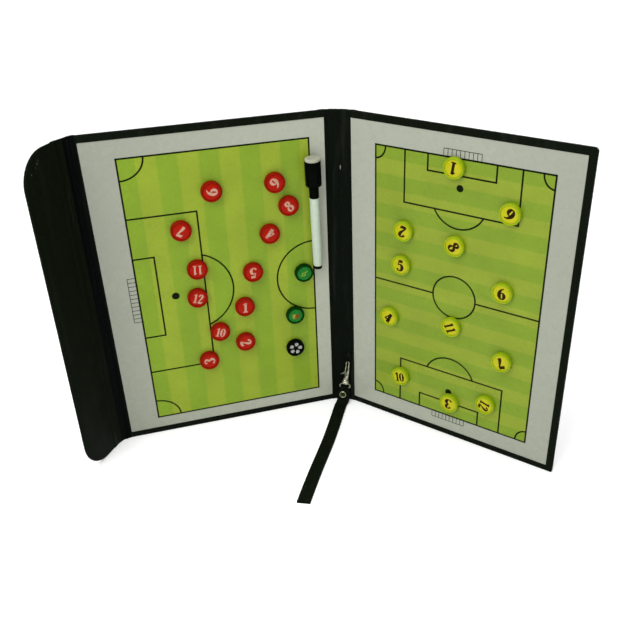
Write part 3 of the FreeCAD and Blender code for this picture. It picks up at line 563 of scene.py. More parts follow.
def spine_skins():
    """The spine's lining and back in two halves, each bending over its own hinge crease."""
    for name, cover, side in (("left", LEFT, -1), ("right", RIGHT, 1)):
        hinge_skin(
            f"spine_leather_{name}", LINING, side, ["spine_skin", "spine_lining"],
            [(cover, [(2.5, -1.35), (2.3, -1.85), (1.2, -2.05)]),
             (WORLD, [(10.0, -2.0), (8.8, -1.65), (7.4, -1.35), (3.5, -1.3), (0.0, -1.3)])],
            [(WORLD, [(0.0, 3.0), (4.5, 3.0), (7.6, 2.85), (9.0, 2.1), (10.0, 1.75)]),
             (cover, [(1.2, 2.15), (2.6, 2.9), (4.6, 3.05), (6.6, 3.0), (6.9, 2.5)])],
        )


def gusset_skins():
    """The gusset in two halves: one bends at the left cover's edge, the other at the flap's."""
    middle = GUSSET_WIDTH / 2
    edge = LEFT_FAR
    # The inner half is in leather painted darker as the shade in its crease.
    hinge_skin(
        "gusset_leather_inner", CREASE_SHADE_LEATHER, -1, ["gusset_strip"],
        [(LEFT, [(edge - 3.4, -1.4), (edge - 3.1, -1.85), (edge - 1.2, -2.0)]),
         (GUSSET, [(-0.4, -1.9), (1.2, -1.5), (2.6, -0.95), (4.4, -0.85), (middle, -0.85)])],
        [(GUSSET, [(middle, 0.85), (4.0, 0.9), (2.0, 1.1), (0.4, 1.5)]),
         (LEFT, [(edge + 0.2, 2.3), (edge - 1.6, 2.95), (edge - 4.0, 3.0), (edge - 4.3, 2.5)])],
    )
    far = GUSSET_WIDTH
    near = COVER_NEAR
    hinge_skin(
        "gusset_leather_outer", FOLDED, -1, ["gusset_strip"],
        [(FLAP, [(near + 3.4, -1.0), (near + 3.0, -1.45), (near + 1.0, -1.5)]),
         (GUSSET, [(far + 0.2, -1.45), (far - 1.6, -1.05), (9.0, -0.85), (middle, -0.85)])],
        [(GUSSET, [(middle, 0.85), (9.0, 0.9), (far - 1.6, 1.1), (far + 0.2, 1.5)]),
         (FLAP, [(near + 1.0, 1.55), (near + 3.0, 1.45), (near + 3.4, 1.0)])],
    )


FLAP_EDGE = ((0.9, 1.2), (0.4, 1.08), (0.1, 0.75), (0.0, 0.3))
FLAP_ROLL = FLAP_EDGE + tuple((inset, -depth) for inset, depth in FLAP_EDGE[::-1])
FLAP_STEPS = 14


def flap_skin():
    """The closing flap: a thin padded panel with two wide round corners at its free edge."""
    corners = (FLAP_CORNER, LEAST_CORNER, LEAST_CORNER, FLAP_CORNER)
    loops = rolled(-FLAP_WIDTH, -COVER_NEAR, 0.0, HEIGHT, corners, FLAP_ROLL, FLAP_STEPS)
    piece("flap_leather", Shape().loft(loops), [FLAP_LEATHER], FLAP, "flap", ["flap_skin"])


# The printed pitches, in each sheet's own millimetres: across from its left edge and up from its foot.
PRINT_LINE = 1.55
NET_LINE = 0.58
SPOT_SIDES = 24
FIELD_TOP = 0.02
LINE_TOP = 0.04


def draw(shape, line, slot=0, ring=False):
    """One printed line."""
    shape.ribbon(line, 0.0, LINE_TOP, slot, ring)


def straight(shape, x0, y0, x1, y1, width=PRINT_LINE, slot=0):
    """One straight printed line."""
    draw(shape, [(x0, y0, width), (x1, y1, width)], slot)


def box_lines(shape, left, low, right, high):
    """The four lines of a box."""
    half = PRINT_LINE / 2
    for y in (low, high):
        straight(shape, left - half, y, right + half, y)
    for x in (left, right):
        straight(shape, x, low - half, x, high + half)


def net_lines(shape, left, low, right, high, cells, upright):
    """A goal's net outside the line, drawn as a ladder of thin lines."""
    corners = ((left, low), (left, high), (right, high), (right, low))
    ends = list(zip(corners, corners[1:] + corners[:1]))
    for cell in range(1, cells):
        share = cell / cells
        if upright:
            y = low + (high - low) * share
            ends.append(((left, y), (right, y)))
        else:
            x = left + (right - left) * share
            ends.append(((x, low), (x, high)))
    for start, end in ends:
        straight(shape, *start, *end, NET_LINE, 1)


def spot(shape, x, y, radius):
    """A printed spot."""
    shape.prism([(x + px, y + py) for px, py, _ in circle(radius, 0.0, SPOT_SIDES)], 0.0, LINE_TOP)


def left_pitch():
    """Half a pitch on its side, with its goal at the left."""
    left, right, low, high = 28.4, 195.3, 12.0, 280.1
    area, area_low, area_high = 90.25, 65.8, 225.2
    box, box_low, box_high = 47.5, 104.9, 186.6
    corner, corner_height = 22.4, 19.6
    hub, hub_height, bow = 77.2, 145.6, 39.1
    ring, ring_height = 36.5, 144.3
    mark = (61.9, 144.5, 3.6)
    net, net_low, net_high, cells = 20.9, 123.0, 168.6, 11
    lines = Shape()
    box_lines(lines, left, low, right, high)
    box_lines(lines, left, area_low, area, area_high)
    box_lines(lines, left, box_low, box, box_high)
    for y, start in ((high, 270), (low, 0)):
        draw(lines, arc(left, y, corner, start, start + 90, PRINT_LINE, corner_height))
    reach = math.degrees(math.acos((area - hub) / bow))
    draw(lines, arc(hub, hub_height, bow, -reach, reach, PRINT_LINE))
    draw(lines, arc(right, ring_height, ring, 90, 270, PRINT_LINE))
    spot(lines, *mark)
    net_lines(lines, net, net_low, left, net_high, cells, True)
    return lines, (left, right, low, high)


def right_pitch():
    """A whole pitch, upright."""
    left, right, low, high = 25.7, 187.85, 17.0, 277.3
    middle = 107.6
    halfway, ring, ring_height = 147.4, 20.8, 148.0
    corner, corner_height = 9.9, 12.0
    area_left, area_right = 54.8, 161.0
    box_left, box_right = 76.8, 139.2
    net_left, net_right, net_depth, cells = 91.2, 125.4, 6.8, 9
    bow, mark_radius = 25.4, 3.2
    # The heights at each end: its goal line, its two boxes, its spot, its arc's middle, and the way inward.
    ends = ((high, 229.4, 262.5, 251.7, 240.3, -1), (low, 65.6, 32.4, 44.5, 56.8, 1))
    lines = Shape()
    box_lines(lines, left, low, right, high)
    for edge, way in ((left, -1), (right, 1)):
        straight(lines, edge, halfway, middle + way * ring, halfway)
    draw(lines, arc(middle, ring_height, ring, 0, RING_END, PRINT_LINE), ring=True)
    for x, y, start in ((left, low, 0), (right, low, 90), (right, high, 180), (left, high, 270)):
        draw(lines, arc(x, y, corner, start, start + 90, PRINT_LINE, corner_height))
    for goal, area, box, mark, hub, way in ends:
        box_lines(lines, area_left, min(goal, area), area_right, max(goal, area))
        box_lines(lines, box_left, min(goal, box), box_right, max(goal, box))
        spot(lines, middle, mark, mark_radius)
        reach = math.degrees(math.acos(abs(area - hub) / bow))
        draw(lines, arc(middle, hub, bow, way * 90 - reach, way * 90 + reach, PRINT_LINE))
        net = sorted((goal, goal - way * net_depth))
        net_lines(lines, net_left, net[0], net_right, net[1], cells, False)
    return lines, (left, right, low, high)


def pitch_prints():
    """The green fields and their lines, printed on the sheets."""
    prints = (
        ("left", LEFT @ at(-SHEET_FAR, FACE, BORDER) @ turn(90, "X"), left_pitch(), LEFT_TURF),
        ("right", RIGHT @ at(SHEET_NEAR, FACE, BORDER) @ turn(90, "X"), right_pitch(), RIGHT_TURF),
    )
    for name, place, (lines, (left, right, low, high)), turf_finish in prints:
        field = Shape().slab(left, right, low, high, 0.0, FIELD_TOP)
        body = f"{name}_cover"
        piece(f"{name}_pitch_field", field, [turf_finish], place, body)
        piece(f"{name}_pitch_lines", lines, [LINE_INK, NET_INK], place, body)


# The counters: a cup with a raised rim, its label, and a printed figure or mark.
COUNTER_RADIUS = 9.5
SMALL_COUNTER_RADIUS = 9.0
COUNTER_HEIGHT = 5.0
RIM_WIDTH = 1.9
RIM_DEPTH = 0.9
SEAT_GAP = 0.05
LABEL_GAP = 0.1
LABEL_THICK = 0.3
LABEL_EDGE = (0.1, 0.06)
LABEL_TOP = COUNTER_HEIGHT - RIM_DEPTH + LABEL_THICK
PRINT_SINK = 0.02
PRINT_RISE = 0.06
MARK_FOOT = LABEL_TOP - PRINT_SINK
MARK_TOP = LABEL_TOP + PRINT_RISE
# The cup's profile: insets with heights, insets with drops from the top, and steps out from the bore.
CUP_FOOT = ((0.5, 0.0), (0.15, 0.12), (0.0, 0.45))
CUP_RIM = ((0.0, 1.0), (0.12, 0.5), (0.4, 0.14), (0.8, 0.0))
CUP_BORE = ((0.45, 0.02), (0.12, 0.16), (0.0, 0.42))
FIGURE_HEIGHT = 10.2
PAIR_HEIGHT = 9.3
BOLD_HEIGHT = 1.06
BOLD_STROKE = 1.18
PAIR_GAP = 0.05
PAIR_SQUEEZE = 0.82
STROKE_SHARE = 1.65
# Each figure's strokes in hundredths of its height, as places and widths. Longer ones are smoothed.
FIGURES = {
    "0": [[(27, 96, 5), (11, 82, 10), (6, 50, 15), (11, 18, 10), (27, 4, 5), (43, 18, 10), (48, 50, 15),
        (43, 82, 10), (27, 96, 5)]],
    "1": [[(31, 3, 12.5), (31, 97, 12.5)], [(10, 3, 6), (52, 3, 6)], [(34, 93, 9), (10, 80, 6)]],
    "2": [[(10, 72, 13), (12, 84, 10), (28, 96, 6), (45, 86, 13), (46, 70, 15), (36, 50, 11), (20, 28, 7),
        (6, 9, 5)], [(4, 7, 14), (50, 7, 14)], [(50, 6, 10), (55, 24, 3)]],
    "3": [[(8, 78, 12), (16, 92, 7), (30, 97, 5), (45, 85, 13), (43, 68, 13), (28, 54, 5)], [(24, 53, 5),
        (42, 46, 10), (50, 28, 16), (42, 10, 11), (25, 3, 5), (10, 10, 8), (7, 20, 13)]],
    "4": [[(40, 3, 15), (40, 97, 15)], [(40, 96, 5), (4, 30, 5)], [(2, 28, 8), (57, 28, 8)], [(24, 3, 6),
        (56, 3, 6)]],
    "5": [[(13, 91, 13), (50, 93, 13)], [(15, 95, 5), (11, 52, 5)], [(11, 52, 4), (25, 62, 6),
        (42, 55, 13), (50, 34, 16), (42, 12, 11), (24, 3, 5), (10, 10, 8), (6, 20, 12)]],
    "6": [[(50, 94, 4), (28, 84, 8), (12, 58, 15), (9, 32, 16), (17, 10, 10), (30, 3, 5), (44, 12, 12),
        (50, 31, 15), (44, 49, 11), (31, 57, 5), (19, 50, 5), (13, 40, 5)]],
    "7": [[(5, 91, 14), (54, 91, 14)], [(6, 95, 4), (5, 74, 4)], [(52, 90, 5), (38, 55, 10), (27, 25, 15),
        (26, 2, 16)]],
    "8": [[(29, 97, 6), (15, 87, 11), (14, 70, 13), (29, 55, 9), (46, 40, 13), (50, 23, 13), (42, 8, 10),
        (29, 3, 6), (15, 8, 10), (8, 23, 12), (13, 40, 9), (29, 55, 6), (43, 70, 11), (43, 87, 11),
        (29, 97, 6)]],
}
FIGURE_WIDTH = 0.58
# Each counter's place as shares of its sheet, away from the spine and up, and the turn of its figure.
RED_PLACES = {
    1: (0.4046, 0.4141, -5), 2: (0.4165, 0.2833, -80), 3: (0.5940, 0.2352, 90), 4: (0.2656, 0.6559, 140),
    5: (0.3541, 0.5332, 178), 6: (0.2290, 0.8201, -135), 7: (0.6464, 0.7056, 146), 8: (0.1743, 0.7406, 35),
    9: (0.5008, 0.8169, -95), 10: (0.5291, 0.3370, -20), 11: (0.5982, 0.5704, 176), 12: (0.6116, 0.4727, -18),
}
YELLOW_PLACES = {
    1: (0.4879, 0.9072, 172), 2: (0.2669, 0.6818, 165), 3: (0.5254, 0.1146, 175), 4: (0.2031, 0.3723, -25),
    5: (0.2590, 0.5674, -5), 6: (0.7320, 0.5613, 5), 7: (0.7562, 0.3286, 203), 8: (0.5086, 0.6721, -55),
    9: (0.7354, 0.8062, -35), 10: (0.2668, 0.1553, 8), 11: (0.5124, 0.3994, -62), 12: (0.6993, 0.1551, -106),
}
WHISTLE_PLACES = {1: (0.1204, 0.5038, 0)}
CARDS_PLACES = {2: (0.1726, 0.3528, 0)}
BALL_PLACES = {1: (0.1810, 0.2268, 5)}


def counter_cup(radius):
    """The turned cup and its label, before any mark."""
    inner = radius - RIM_WIDTH
    seat = COUNTER_HEIGHT - RIM_DEPTH
    label = inner - LABEL_GAP
    edge_inset, edge_drop = LABEL_EDGE
    disc = ((label, seat - PRINT_SINK), (label, LABEL_TOP - edge_drop), (label - edge_inset, LABEL_TOP))
    cup = [(radius - inset, height) for inset, height in CUP_FOOT]
    cup += [(radius - inset, COUNTER_HEIGHT - drop) for inset, drop in CUP_RIM]
    cup += [(inner + out, COUNTER_HEIGHT - drop) for out, drop in CUP_BORE]
    cup.append((inner, seat))
    return Shape().lathe(cup).lathe(disc, 1)


def mark_line(shape, line, ring=False):
    """One line of a printed mark."""
    shape.ribbon(line, MARK_FOOT, MARK_TOP, 2, ring)


def figure(shape, number, angle, tall=1.0, bold=1.0):
    """The printed number, middled on the label and turned as the counter lies."""
    text = str(number)
    height, squeeze = (FIGURE_HEIGHT * tall, 1.0) if len(text) == 1 else (PAIR_HEIGHT * tall, PAIR_SQUEEZE)
    share = STROKE_SHARE * bold
    whole = len(text) * FIGURE_WIDTH + (len(text) - 1) * PAIR_GAP
    for order, letter in enumerate(text):
        start = order * (FIGURE_WIDTH + PAIR_GAP) - whole / 2
        upended = letter == "9"
        for stroke in FIGURES["6" if upended else letter]:
            points = [tuple(value / 100 for value in point) for point in stroke]
            line = []
            for x, y, width in smooth(points) if len(points) > 2 else points:
                x, y = (FIGURE_WIDTH - x, 1 - y) if upended else (x, y)
                place = turned((start + x) * height * squeeze, (y - 0.5) * height, angle)
                line.append((*place, width * share * height * squeeze))
            mark_line(shape, line)


def bold_figure(shape, number, angle):
    """A number in the bolder print of the yellow counters."""
    figure(shape, number, angle, BOLD_HEIGHT, BOLD_STROKE)


def flat_mark(shape, outline, x, y, degrees, top=MARK_TOP, slot=2):
    """A printed outline, turned about its own middle and put at a place."""
    places = [turned(*place, degrees) for place in outline]
    shape.prism([(x + px, y + py) for px, py in places], MARK_FOOT, top, slot)


def whistle(shape, _number, _angle):
    """A referee's mark: a plain slanting whistle."""
    mark_line(shape, arc(-0.8, -0.9, 1.4, 0, RING_END, 1.4), True)
    mark_line(shape, [(-0.7, 0.2, 1.7), (3.2, 2.3, 1.3)])
    mark_line(shape, arc(-3.0, -2.2, 0.6, 0, RING_END, 0.5), True)


CARD_OUTLINE = ((-1.7, -2.5), (1.7, -2.5), (1.7, 2.5), (-1.7, 2.5))
CARD_LEVEL = -0.7
CARD_STEP = 0.04


def cards(shape, _number, _angle):
    """A referee's mark: two plain cards, one over the other."""
    for slot, x, tilt, top in ((2, -1.5, 12, MARK_TOP), (3, 1.3, -9, MARK_TOP + CARD_STEP)):
        flat_mark(shape, CARD_OUTLINE, x, CARD_LEVEL, tilt, top, slot)


BALL_PATCH = ((-2.0, 0.0), (-1.1, 1.5), (1.1, 2.0), (2.1, 1.0), (2.1, -1.0), (1.1, -2.0), (-1.1, -1.5))
BALL_RING = 4.2
BALL_PATCHES = 5


def ball(shape, _number, angle):
    """The ball's mark: pale patches round a dark middle."""
    for step in range(BALL_PATCHES):
        way = angle + 360 / BALL_PATCHES * step
        flat_mark(shape, BALL_PATCH, *turned(BALL_RING, 0.0, way), way)


def counters():
    """Every counter at its place on its sheet, each riding on its own body."""
    large, small = COUNTER_RADIUS, SMALL_COUNTER_RADIUS
    red = [RED_RIM_PAINTED_SHADE, RED_FACE, RED_MARK]
    yellow = [YELLOW_RIM, YELLOW_FACE, YELLOW_MARK]
    green = [GREEN_RIM, GREEN_FACE]
    sets = (
        ("red_counter", RED_PLACES, large, -1, LEFT, figure, red),
        ("yellow_counter", YELLOW_PLACES, large, 1, RIGHT, bold_figure, yellow),
        ("green_counter", WHISTLE_PLACES, small, -1, LEFT, whistle, green + [GREEN_MARK]),
        ("green_counter", CARDS_PLACES, small, -1, LEFT, cards, green + [YELLOW_CARD, RED_CARD]),
        ("ball_counter", BALL_PLACES, small, -1, LEFT, ball, [BLACK, BLACK, BALL_MARK]),
    )
    for kind, places, radius, side, cover, mark, finishes in sets:
        for number, (across, up, angle) in places.items():
            x = side * (SHEET_NEAR + across * SHEET_WIDTH)
            place = cover @ at(x, FACE - SEAT_GAP, BORDER + up * SHEET_HEIGHT) @ turn(90, "X")
            shape = counter_cup(radius)
            mark(shape, number, angle)
            body = f"{kind}_{number:02d}"
            piece(f"{body}_disc", shape, finishes, place, body, [body])


# The pen, from its lower end up: radius and height along its own axis.
PEN_PLACE = (-14.255, -5.8, 159.808)
PEN_SLANT = -1.3
PEN_TILT = 2.0454
PEN = LEFT @ at(*PEN_PLACE) @ turn(PEN_SLANT, "Y") @ turn(PEN_TILT, "X")
PEN_PROFILES = {
    "pen_end_plug": (
        "pen", BLACK, "black_plastic",
        ((2.9, 0.0), (3.6, 0.2), (3.95, 0.7), (4.0, 1.3), (4.0, 3.3), (3.7, 3.6)),
    ),
    "pen_barrel": (
        "pen", WHITE, "white_plastic",
        ((3.7, 3.6), (4.3, 3.75), (4.5, 4.1), (4.5, 71.5), (4.32, 71.7), (4.32, 72.1), (4.5, 72.3),
         (4.5, 72.6), (4.2, 72.9)),
    ),
    "pen_grip": (
        "pen", BLACK, "black_plastic",
        ((3.7, 72.9), (4.3, 73.05), (4.45, 73.4), (4.45, 75.0), (4.2, 75.3), (4.2, 75.9), (4.45, 76.2),
         (4.45, 77.5), (4.2, 77.8), (4.2, 78.4), (4.45, 78.7), (4.45, 84.4), (4.2, 84.75), (3.7, 84.75),
         (3.7, 92.0), (3.3, 92.8), (2.2, 92.8)),
    ),
    "pen_cap": (
        "pen_cap", BLACK, "black_plastic",
        ((4.25, 100.8), (4.25, 85.3), (4.5, 84.85), (6.6, 84.8), (7.15, 85.0), (7.4, 85.5), (7.4, 107.3),
         (7.25, 107.8), (6.8, 108.15), (6.0, 108.2)),
    ),
    "pen_eraser": (
        "pen_cap", FELT_PAINTED_LIT_SIDE, "eraser_felt",
        ((6.2, 108.2), (6.75, 108.3), (6.8, 108.6), (6.78, 109.9), (6.55, 110.6), (6.1, 110.9),
         (5.6, 110.92)),
    ),
}
# The eraser's top is in the greyer felt, painted as shaded beside its painted-lit side.
ERASER_TOP = ((5.75, 110.85), (5.7, 110.95), (5.2, 111.0), (3.0, 111.02), (0.6, 110.98))


def pen():
    """The marker pen, each part turned about its axis."""
    for name, (body, finish, slot, profile) in PEN_PROFILES.items():
        shape = Shape().lathe(profile)
        if name == "pen_eraser":
            shape.lathe(ERASER_TOP, 1)
        piece(f"{name}_turned", shape, [finish, FELT], PEN, body, [name])


# The leaning snap hook hangs from the tab. Its own frame starts at the foot of its collar.
TAB_MIDDLE = 5.5
TAB_STAND = -6.0
TAB_HEIGHT = 50.65
HOOK_LENGTH = 26.65
HOOK_LEAN = 5.9
EYE_DROP = 5.5
HOOK = at(TAB_MIDDLE, TAB_STAND, TAB_HEIGHT) @ turn(HOOK_LEAN, "Y") @ at(0, 0, -HOOK_LENGTH)
EYE_BAR = (HOOK @ at(0, 0, -EYE_DROP)).translation / MM
BAR = EYE_BAR.yz

# The strap: one strip doubled round the eye's bar, riveted, and laid along the floor.
STRAP_LAYER = 1.2
STRAP_GAP = 0.02
STRAP_REACH = 163.0
STRAP_HALF = 6.175
STRAP_BEND = 7.0
STRAP_SLOPE = 78.0
SLOPE = math.radians(STRAP_SLOPE)
RISE = Vector((math.cos(SLOPE), math.sin(SLOPE)))
OUTWARD = Vector((-math.sin(SLOPE), math.cos(SLOPE)))
STRAP_SHIFT = 1.3
STRAP_MIDDLE = EYE_BAR.x - STRAP_SHIFT
BAR_LOOP = 1.65
LOOP_REACH = 128
LOOP_STEP = 16
# The strap from above: its drift to the left and its way forward, as shares of its reach.
STRAP_ROUTE = (
    (0.0000, 0.010), (0.0000, 0.046), (0.0020, 0.056), (0.0080, 0.070), (0.0143, 0.090), (0.0171, 0.131),
    (0.0210, 0.217), (0.0279, 0.340), (0.0365, 0.459), (0.0481, 0.573), (0.0604, 0.683), (0.0745, 0.828),
    (0.0885, 1.000),
)
# The strip's neck in the eye: its half width, its shift, and the heights between which it narrows.
NECK_HALF = 4.0
NECK_SHIFT = 1.2
NECK_HEIGHTS = (12.0, 15.6)
# One corner of the strip's rolled section, as insets from its edge and from its face.
STRAP_CORNER = ((0.32, 0.0), (0.09, 0.09), (0.0, 0.32))
# The strip's rise to the bar: how far below it, and how far the layers part there.
STRAP_RISE = ((9.5, 0.0), (8.0, 0.0), (6.6, 0.0), (5.2, 0.0), (3.9, 0.12), (2.9, 0.42))
STRAP_STEP = 0.5
FLOOR_STEPS = 18
BEND_STEPS = 8
STRAP_LINE = smooth([(forward, drift) for drift, forward in STRAP_ROUTE], 12)


def strap_plan(y, z):
    """The strap's middle and half width at a way forward and a height."""
    share = min(-y / STRAP_REACH, 1.0)
    for (s0, d0), (s1, d1) in zip(STRAP_LINE, STRAP_LINE[1:]):
        if share <= s1:
            break
    part = max(0.0, (share - s0) / (s1 - s0))
    middle = STRAP_MIDDLE - (d0 + (d1 - d0) * part) * STRAP_REACH
    low, high = NECK_HEIGHTS
    neck = min(max((z - low) / (high - low), 0.0), 1.0)
    neck = neck * neck * (3 - 2 * neck)
    return middle + NECK_SHIFT * neck, STRAP_HALF + (NECK_HALF - STRAP_HALF) * neck


def strap_path():
    """The strip's middle line from the side: along the floor, up, round the bar and back."""
    floor_end = BAR.x - ((BAR.y - STRAP_BEND) * RISE.x + STRAP_BEND - STRAP_LAYER) / RISE.y
    hub = Vector((floor_end, STRAP_BEND))

    def run(layer, length):
        radius = STRAP_BEND - STRAP_LAYER * (layer + 0.5)
        offset = OUTWARD * STRAP_LAYER * (layer - 0.5)
        ways = [hub.x + (-length - hub.x) * step / FLOOR_STEPS for step in range(FLOOR_STEPS, 0, -1)]
        points = [(y, STRAP_BEND - radius) for y in ways]
        for step in range(BEND_STEPS + 1):
            angle = SLOPE * step / BEND_STEPS
            points.append((hub.x + radius * math.sin(angle), hub.y - radius * math.cos(angle)))
        spread = 1.0 if layer else -1.0
        for drop, gap in STRAP_RISE:
            points.append(tuple(BAR - RISE * drop + offset + OUTWARD * gap * spread))
        return points

    loop = []
    for angle in range(-LOOP_REACH, LOOP_REACH + 1, LOOP_STEP):
        around = math.radians(angle)
        loop.append(tuple(BAR + RISE * BAR_LOOP * math.cos(around) + OUTWARD * BAR_LOOP * math.sin(around)))
    return run(0, STRAP_REACH) + loop + run(1, STRAP_REACH - STRAP_STEP)[::-1]


def strap():
    """The wrist strap, swept along its path with rolled edges."""
    path = strap_path()
    half_layer = (STRAP_LAYER - STRAP_GAP) / 2
    loops = []
    for (y, z), (along_y, along_z) in zip(path, directions([(y, z, 0.0) for y, z in path])):
        middle, half = strap_plan(y, z)
        loop = []
        for to_x, to_t in ((-1, -1), (1, -1), (1, 1), (-1, 1)):
            for inset_x, inset_t in STRAP_CORNER if to_x * to_t < 0 else STRAP_CORNER[::-1]:
                t = to_t * (half_layer - inset_t)
                loop.append((middle + to_x * (half - inset_x), y - along_z * t, z + along_y * t))
        loops.append(loop)
    shape = Shape().loft(loops)
    finishes = [STRAP_LEATHER]
    made = piece("wrist_strap_leather", shape, finishes, WORLD, "swivel", ["wrist_strap"])
    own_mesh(made)


# The leather tab that carries the hook: a foot on the lining and a round-ended ear with a hole.
TAB_EAR = 2.8
TAB_BELOW = 5.0
TAB_ABOVE = 9.0
TAB_FOOT = (TAB_MIDDLE - TAB_EAR, TAB_MIDDLE + TAB_EAR, TAB_HEIGHT - TAB_BELOW, TAB_HEIGHT + TAB_ABOVE)
TAB_CORNER = 1.5
LEAST_SINE = 0.01
TAB_HOLE = 1.15
TAB_HALF = 0.5
FOOT_ROLL = ((0.0, FACE), (0.0, FACE - 0.7), (0.1, FACE - 0.9), (0.35, FACE - 1.0))
EAR_ROLL = ((0.25, 1.0), (0.0, 0.62), (0.0, -0.62), (0.25, -1.0))


def hook_tab():
    """The tab, with its cut edges a little rolled."""
    shape = Shape().loft(rolled(*TAB_FOOT, [TAB_CORNER] * 4, FOOT_ROLL))
    loops = []
    for edge, roll, sections in ((TAB_EAR, -1, EAR_ROLL), (TAB_HOLE, 1, EAR_ROLL[::-1])):
        for inset, side in sections:
            loop = []
            for angle in turns(SIDES):
                cos, sin = math.cos(angle), math.sin(angle)
                reach = edge
                if roll < 0 and cos > 0:
                    reach = min((FACE - TAB_STAND) / cos, edge / max(abs(sin), LEAST_SINE))
                reach += roll * inset
                loop.append((TAB_MIDDLE + side * TAB_HALF, TAB_STAND + reach * cos, TAB_HEIGHT + reach * sin))
            loops.append(loop)
    shape.loft(loops, ring=True)
    piece("hook_tab_leather", shape, [LINING], WORLD, "spine", ["hook_tab"])


# The snap hook's collar, as radius and height from inside its bore to its neck.
COLLAR = (
    (2.0, 4.2), (2.0, 2.0), (1.5, 2.0), (1.5, 0.25), (1.75, 0.0), (3.15, 0.0), (3.55, 0.2), (3.7, 0.65),
    (3.7, 2.0), (3.55, 2.45), (3.15, 2.7), (2.85, 2.95), (2.8, 3.35), (3.05, 3.6), (3.1, 4.2), (2.95, 4.65),
    (2.6, 4.95), (2.25, 5.5), (2.05, 6.3), (1.95, 7.2),
)
# The hook's shank above the collar: height, middle, half width and half depth.
SHANK = (
    (6.6, 0.4, 2.2, 1.9), (8.0, 0.85, 1.9, 1.55), (10.0, 1.3, 1.5, 1.4), (12.0, 1.55, 1.2, 1.3),
    (14.0, 1.65, 1.05, 1.1), (16.0, 1.7, 0.92, 0.92), (18.0, 1.7, 0.8, 0.8),
)
LIMB = 1.7
BOW_RADIUS = 1.375
BOW_MIDDLE = LIMB - BOW_RADIUS
GATE = BOW_MIDDLE - BOW_RADIUS
BOW_HEIGHT = HOOK_LENGTH - BOW_RADIUS
HOOK_WIRE = 0.62
LIMB_RUN = (16.0, 20.0)
# The bow's tip: height and radius.
TIP = ((22.75, 0.58), (22.45, 0.42))
# The two cheeks that hold the lever's pin: their outline from the front and their depths.
CHEEK = ((1.2, 9.6), (-1.2, 10.2), (-2.2, 10.9), (-2.6, 12.0), (-2.4, 13.2), (-1.6, 13.9), (1.2, 14.0))
CHEEK_DEPTHS = (0.65, 1.4)
PIVOT = (-1.5, 12.4)
LEVER_ROOT = 1.5
LEVER_HALF = 0.5
# The lever's arm: place and radius.
ARM = ((-1.5, 13.0, 0.45), (-1.35, 14.6, 0.55), (-1.2, 17.0, 0.56), (GATE, 21.5, 0.5), (GATE, 22.15, 0.36))
# The thumb tab, curving away from the pivot: place, half width and half thickness.
THUMB = (
    (-1.5, 13.9, 0.45, 0.45), (-2.3, 13.2, 0.45, 0.45), (-3.1, 12.3, 0.75, 0.4), (-3.9, 11.55, 1.0, 0.35),
    (-4.8, 11.15, 1.0, 0.3), (-5.5, 11.1, 0.85, 0.22),
)
THUMB_SECTION = ((-1, -0.5), (-0.8, -1), (0.8, -1), (1, -0.5), (1, 0.5), (0.8, 1), (-0.8, 1), (-1, 0.5))
EYE_HALF = 5.2
EYE_TOP = -1.1
EYE_SHOULDER = 2.6
EYE_FOOT = 1.0
EYE_WIRE = 0.75
EYE_POST = (
    (0.7, -1.9), (1.4, -1.7), (1.7, -1.2), (1.55, -0.7), (1.25, -0.35), (1.25, 2.2), (1.8, 2.25), (1.8, 3.9),
    (1.6, 4.0),
)
# The rivet from its back to its front: a domed cap, the post, and a cap with a rolled rim round a dish.
RIVET_DROP = 8.0
RIVET_SHIFT = 1.9
RIVET_CAP = 1.2
RIVET = (
    (1.6, 0.0), (2.6, 0.2), (3.35, 0.65), (3.6, 1.1), (3.4, 1.2), (1.2, 1.2), (1.2, 3.6), (3.4, 3.6),
    (3.6, 3.75), (3.6, 4.15), (3.42, 4.55), (3.1, 4.78), (2.8, 4.76), (2.55, 4.5), (2.5, 4.1),
)
RIVET_DISH = ((2.52, 4.05), (2.5, 4.4), (1.7, 4.2), (0.8, 4.22), (0.3, 4.32))


def plated(name, shape, body, node):
    """A nickel piece in the hook's own frame, in place of a node."""
    piece(name, shape, [NICKEL], HOOK, body, [node])


def snap_hook():
    """The hook's casting: a turned collar, a tapering shank with two cheeks, and the bow."""
    shape = Shape().lathe(COLLAR)
    shape.loft([
        [(middle + half * math.cos(a), depth * math.sin(a), height) for a in turns(WIRE_SIDES)]
        for height, middle, half, depth in SHANK
    ])
    limb = [(LIMB, height, HOOK_WIRE) for height in LIMB_RUN]
    tip = [(GATE, height, radius) for height, radius in TIP]
    sweep(shape, limb + arc(BOW_MIDDLE, BOW_HEIGHT, BOW_RADIUS, 0, 180, HOOK_WIRE) + tip, wire)
    for side in (-1, 1):
        shape.loft([[(x, side * depth, z) for x, z in CHEEK] for depth in CHEEK_DEPTHS])
    plated("snap_hook_casting", shape, "snap_hook", "snap_hook_body")


def thumb(half, thick):
    """The section of the thumb tab, a flat oval."""
    return [(across * thick, depth * half) for depth, across in THUMB_SECTION]


def hook_lever():
    """The lever: its root, the arm that shuts the bow, and the thumb tab."""
    shape = Shape()
    root = arc(*PIVOT, LEVER_ROOT, 0, RING_END, 0.0)
    shape.loft([[(x, depth, z) for x, z, _ in root] for depth in (-LEVER_HALF, LEVER_HALF)])
    sweep(shape, ARM, wire)
    sweep(shape, smooth(THUMB), thumb)
    plated("snap_hook_gate", shape, "hook_lever", "snap_hook_lever")


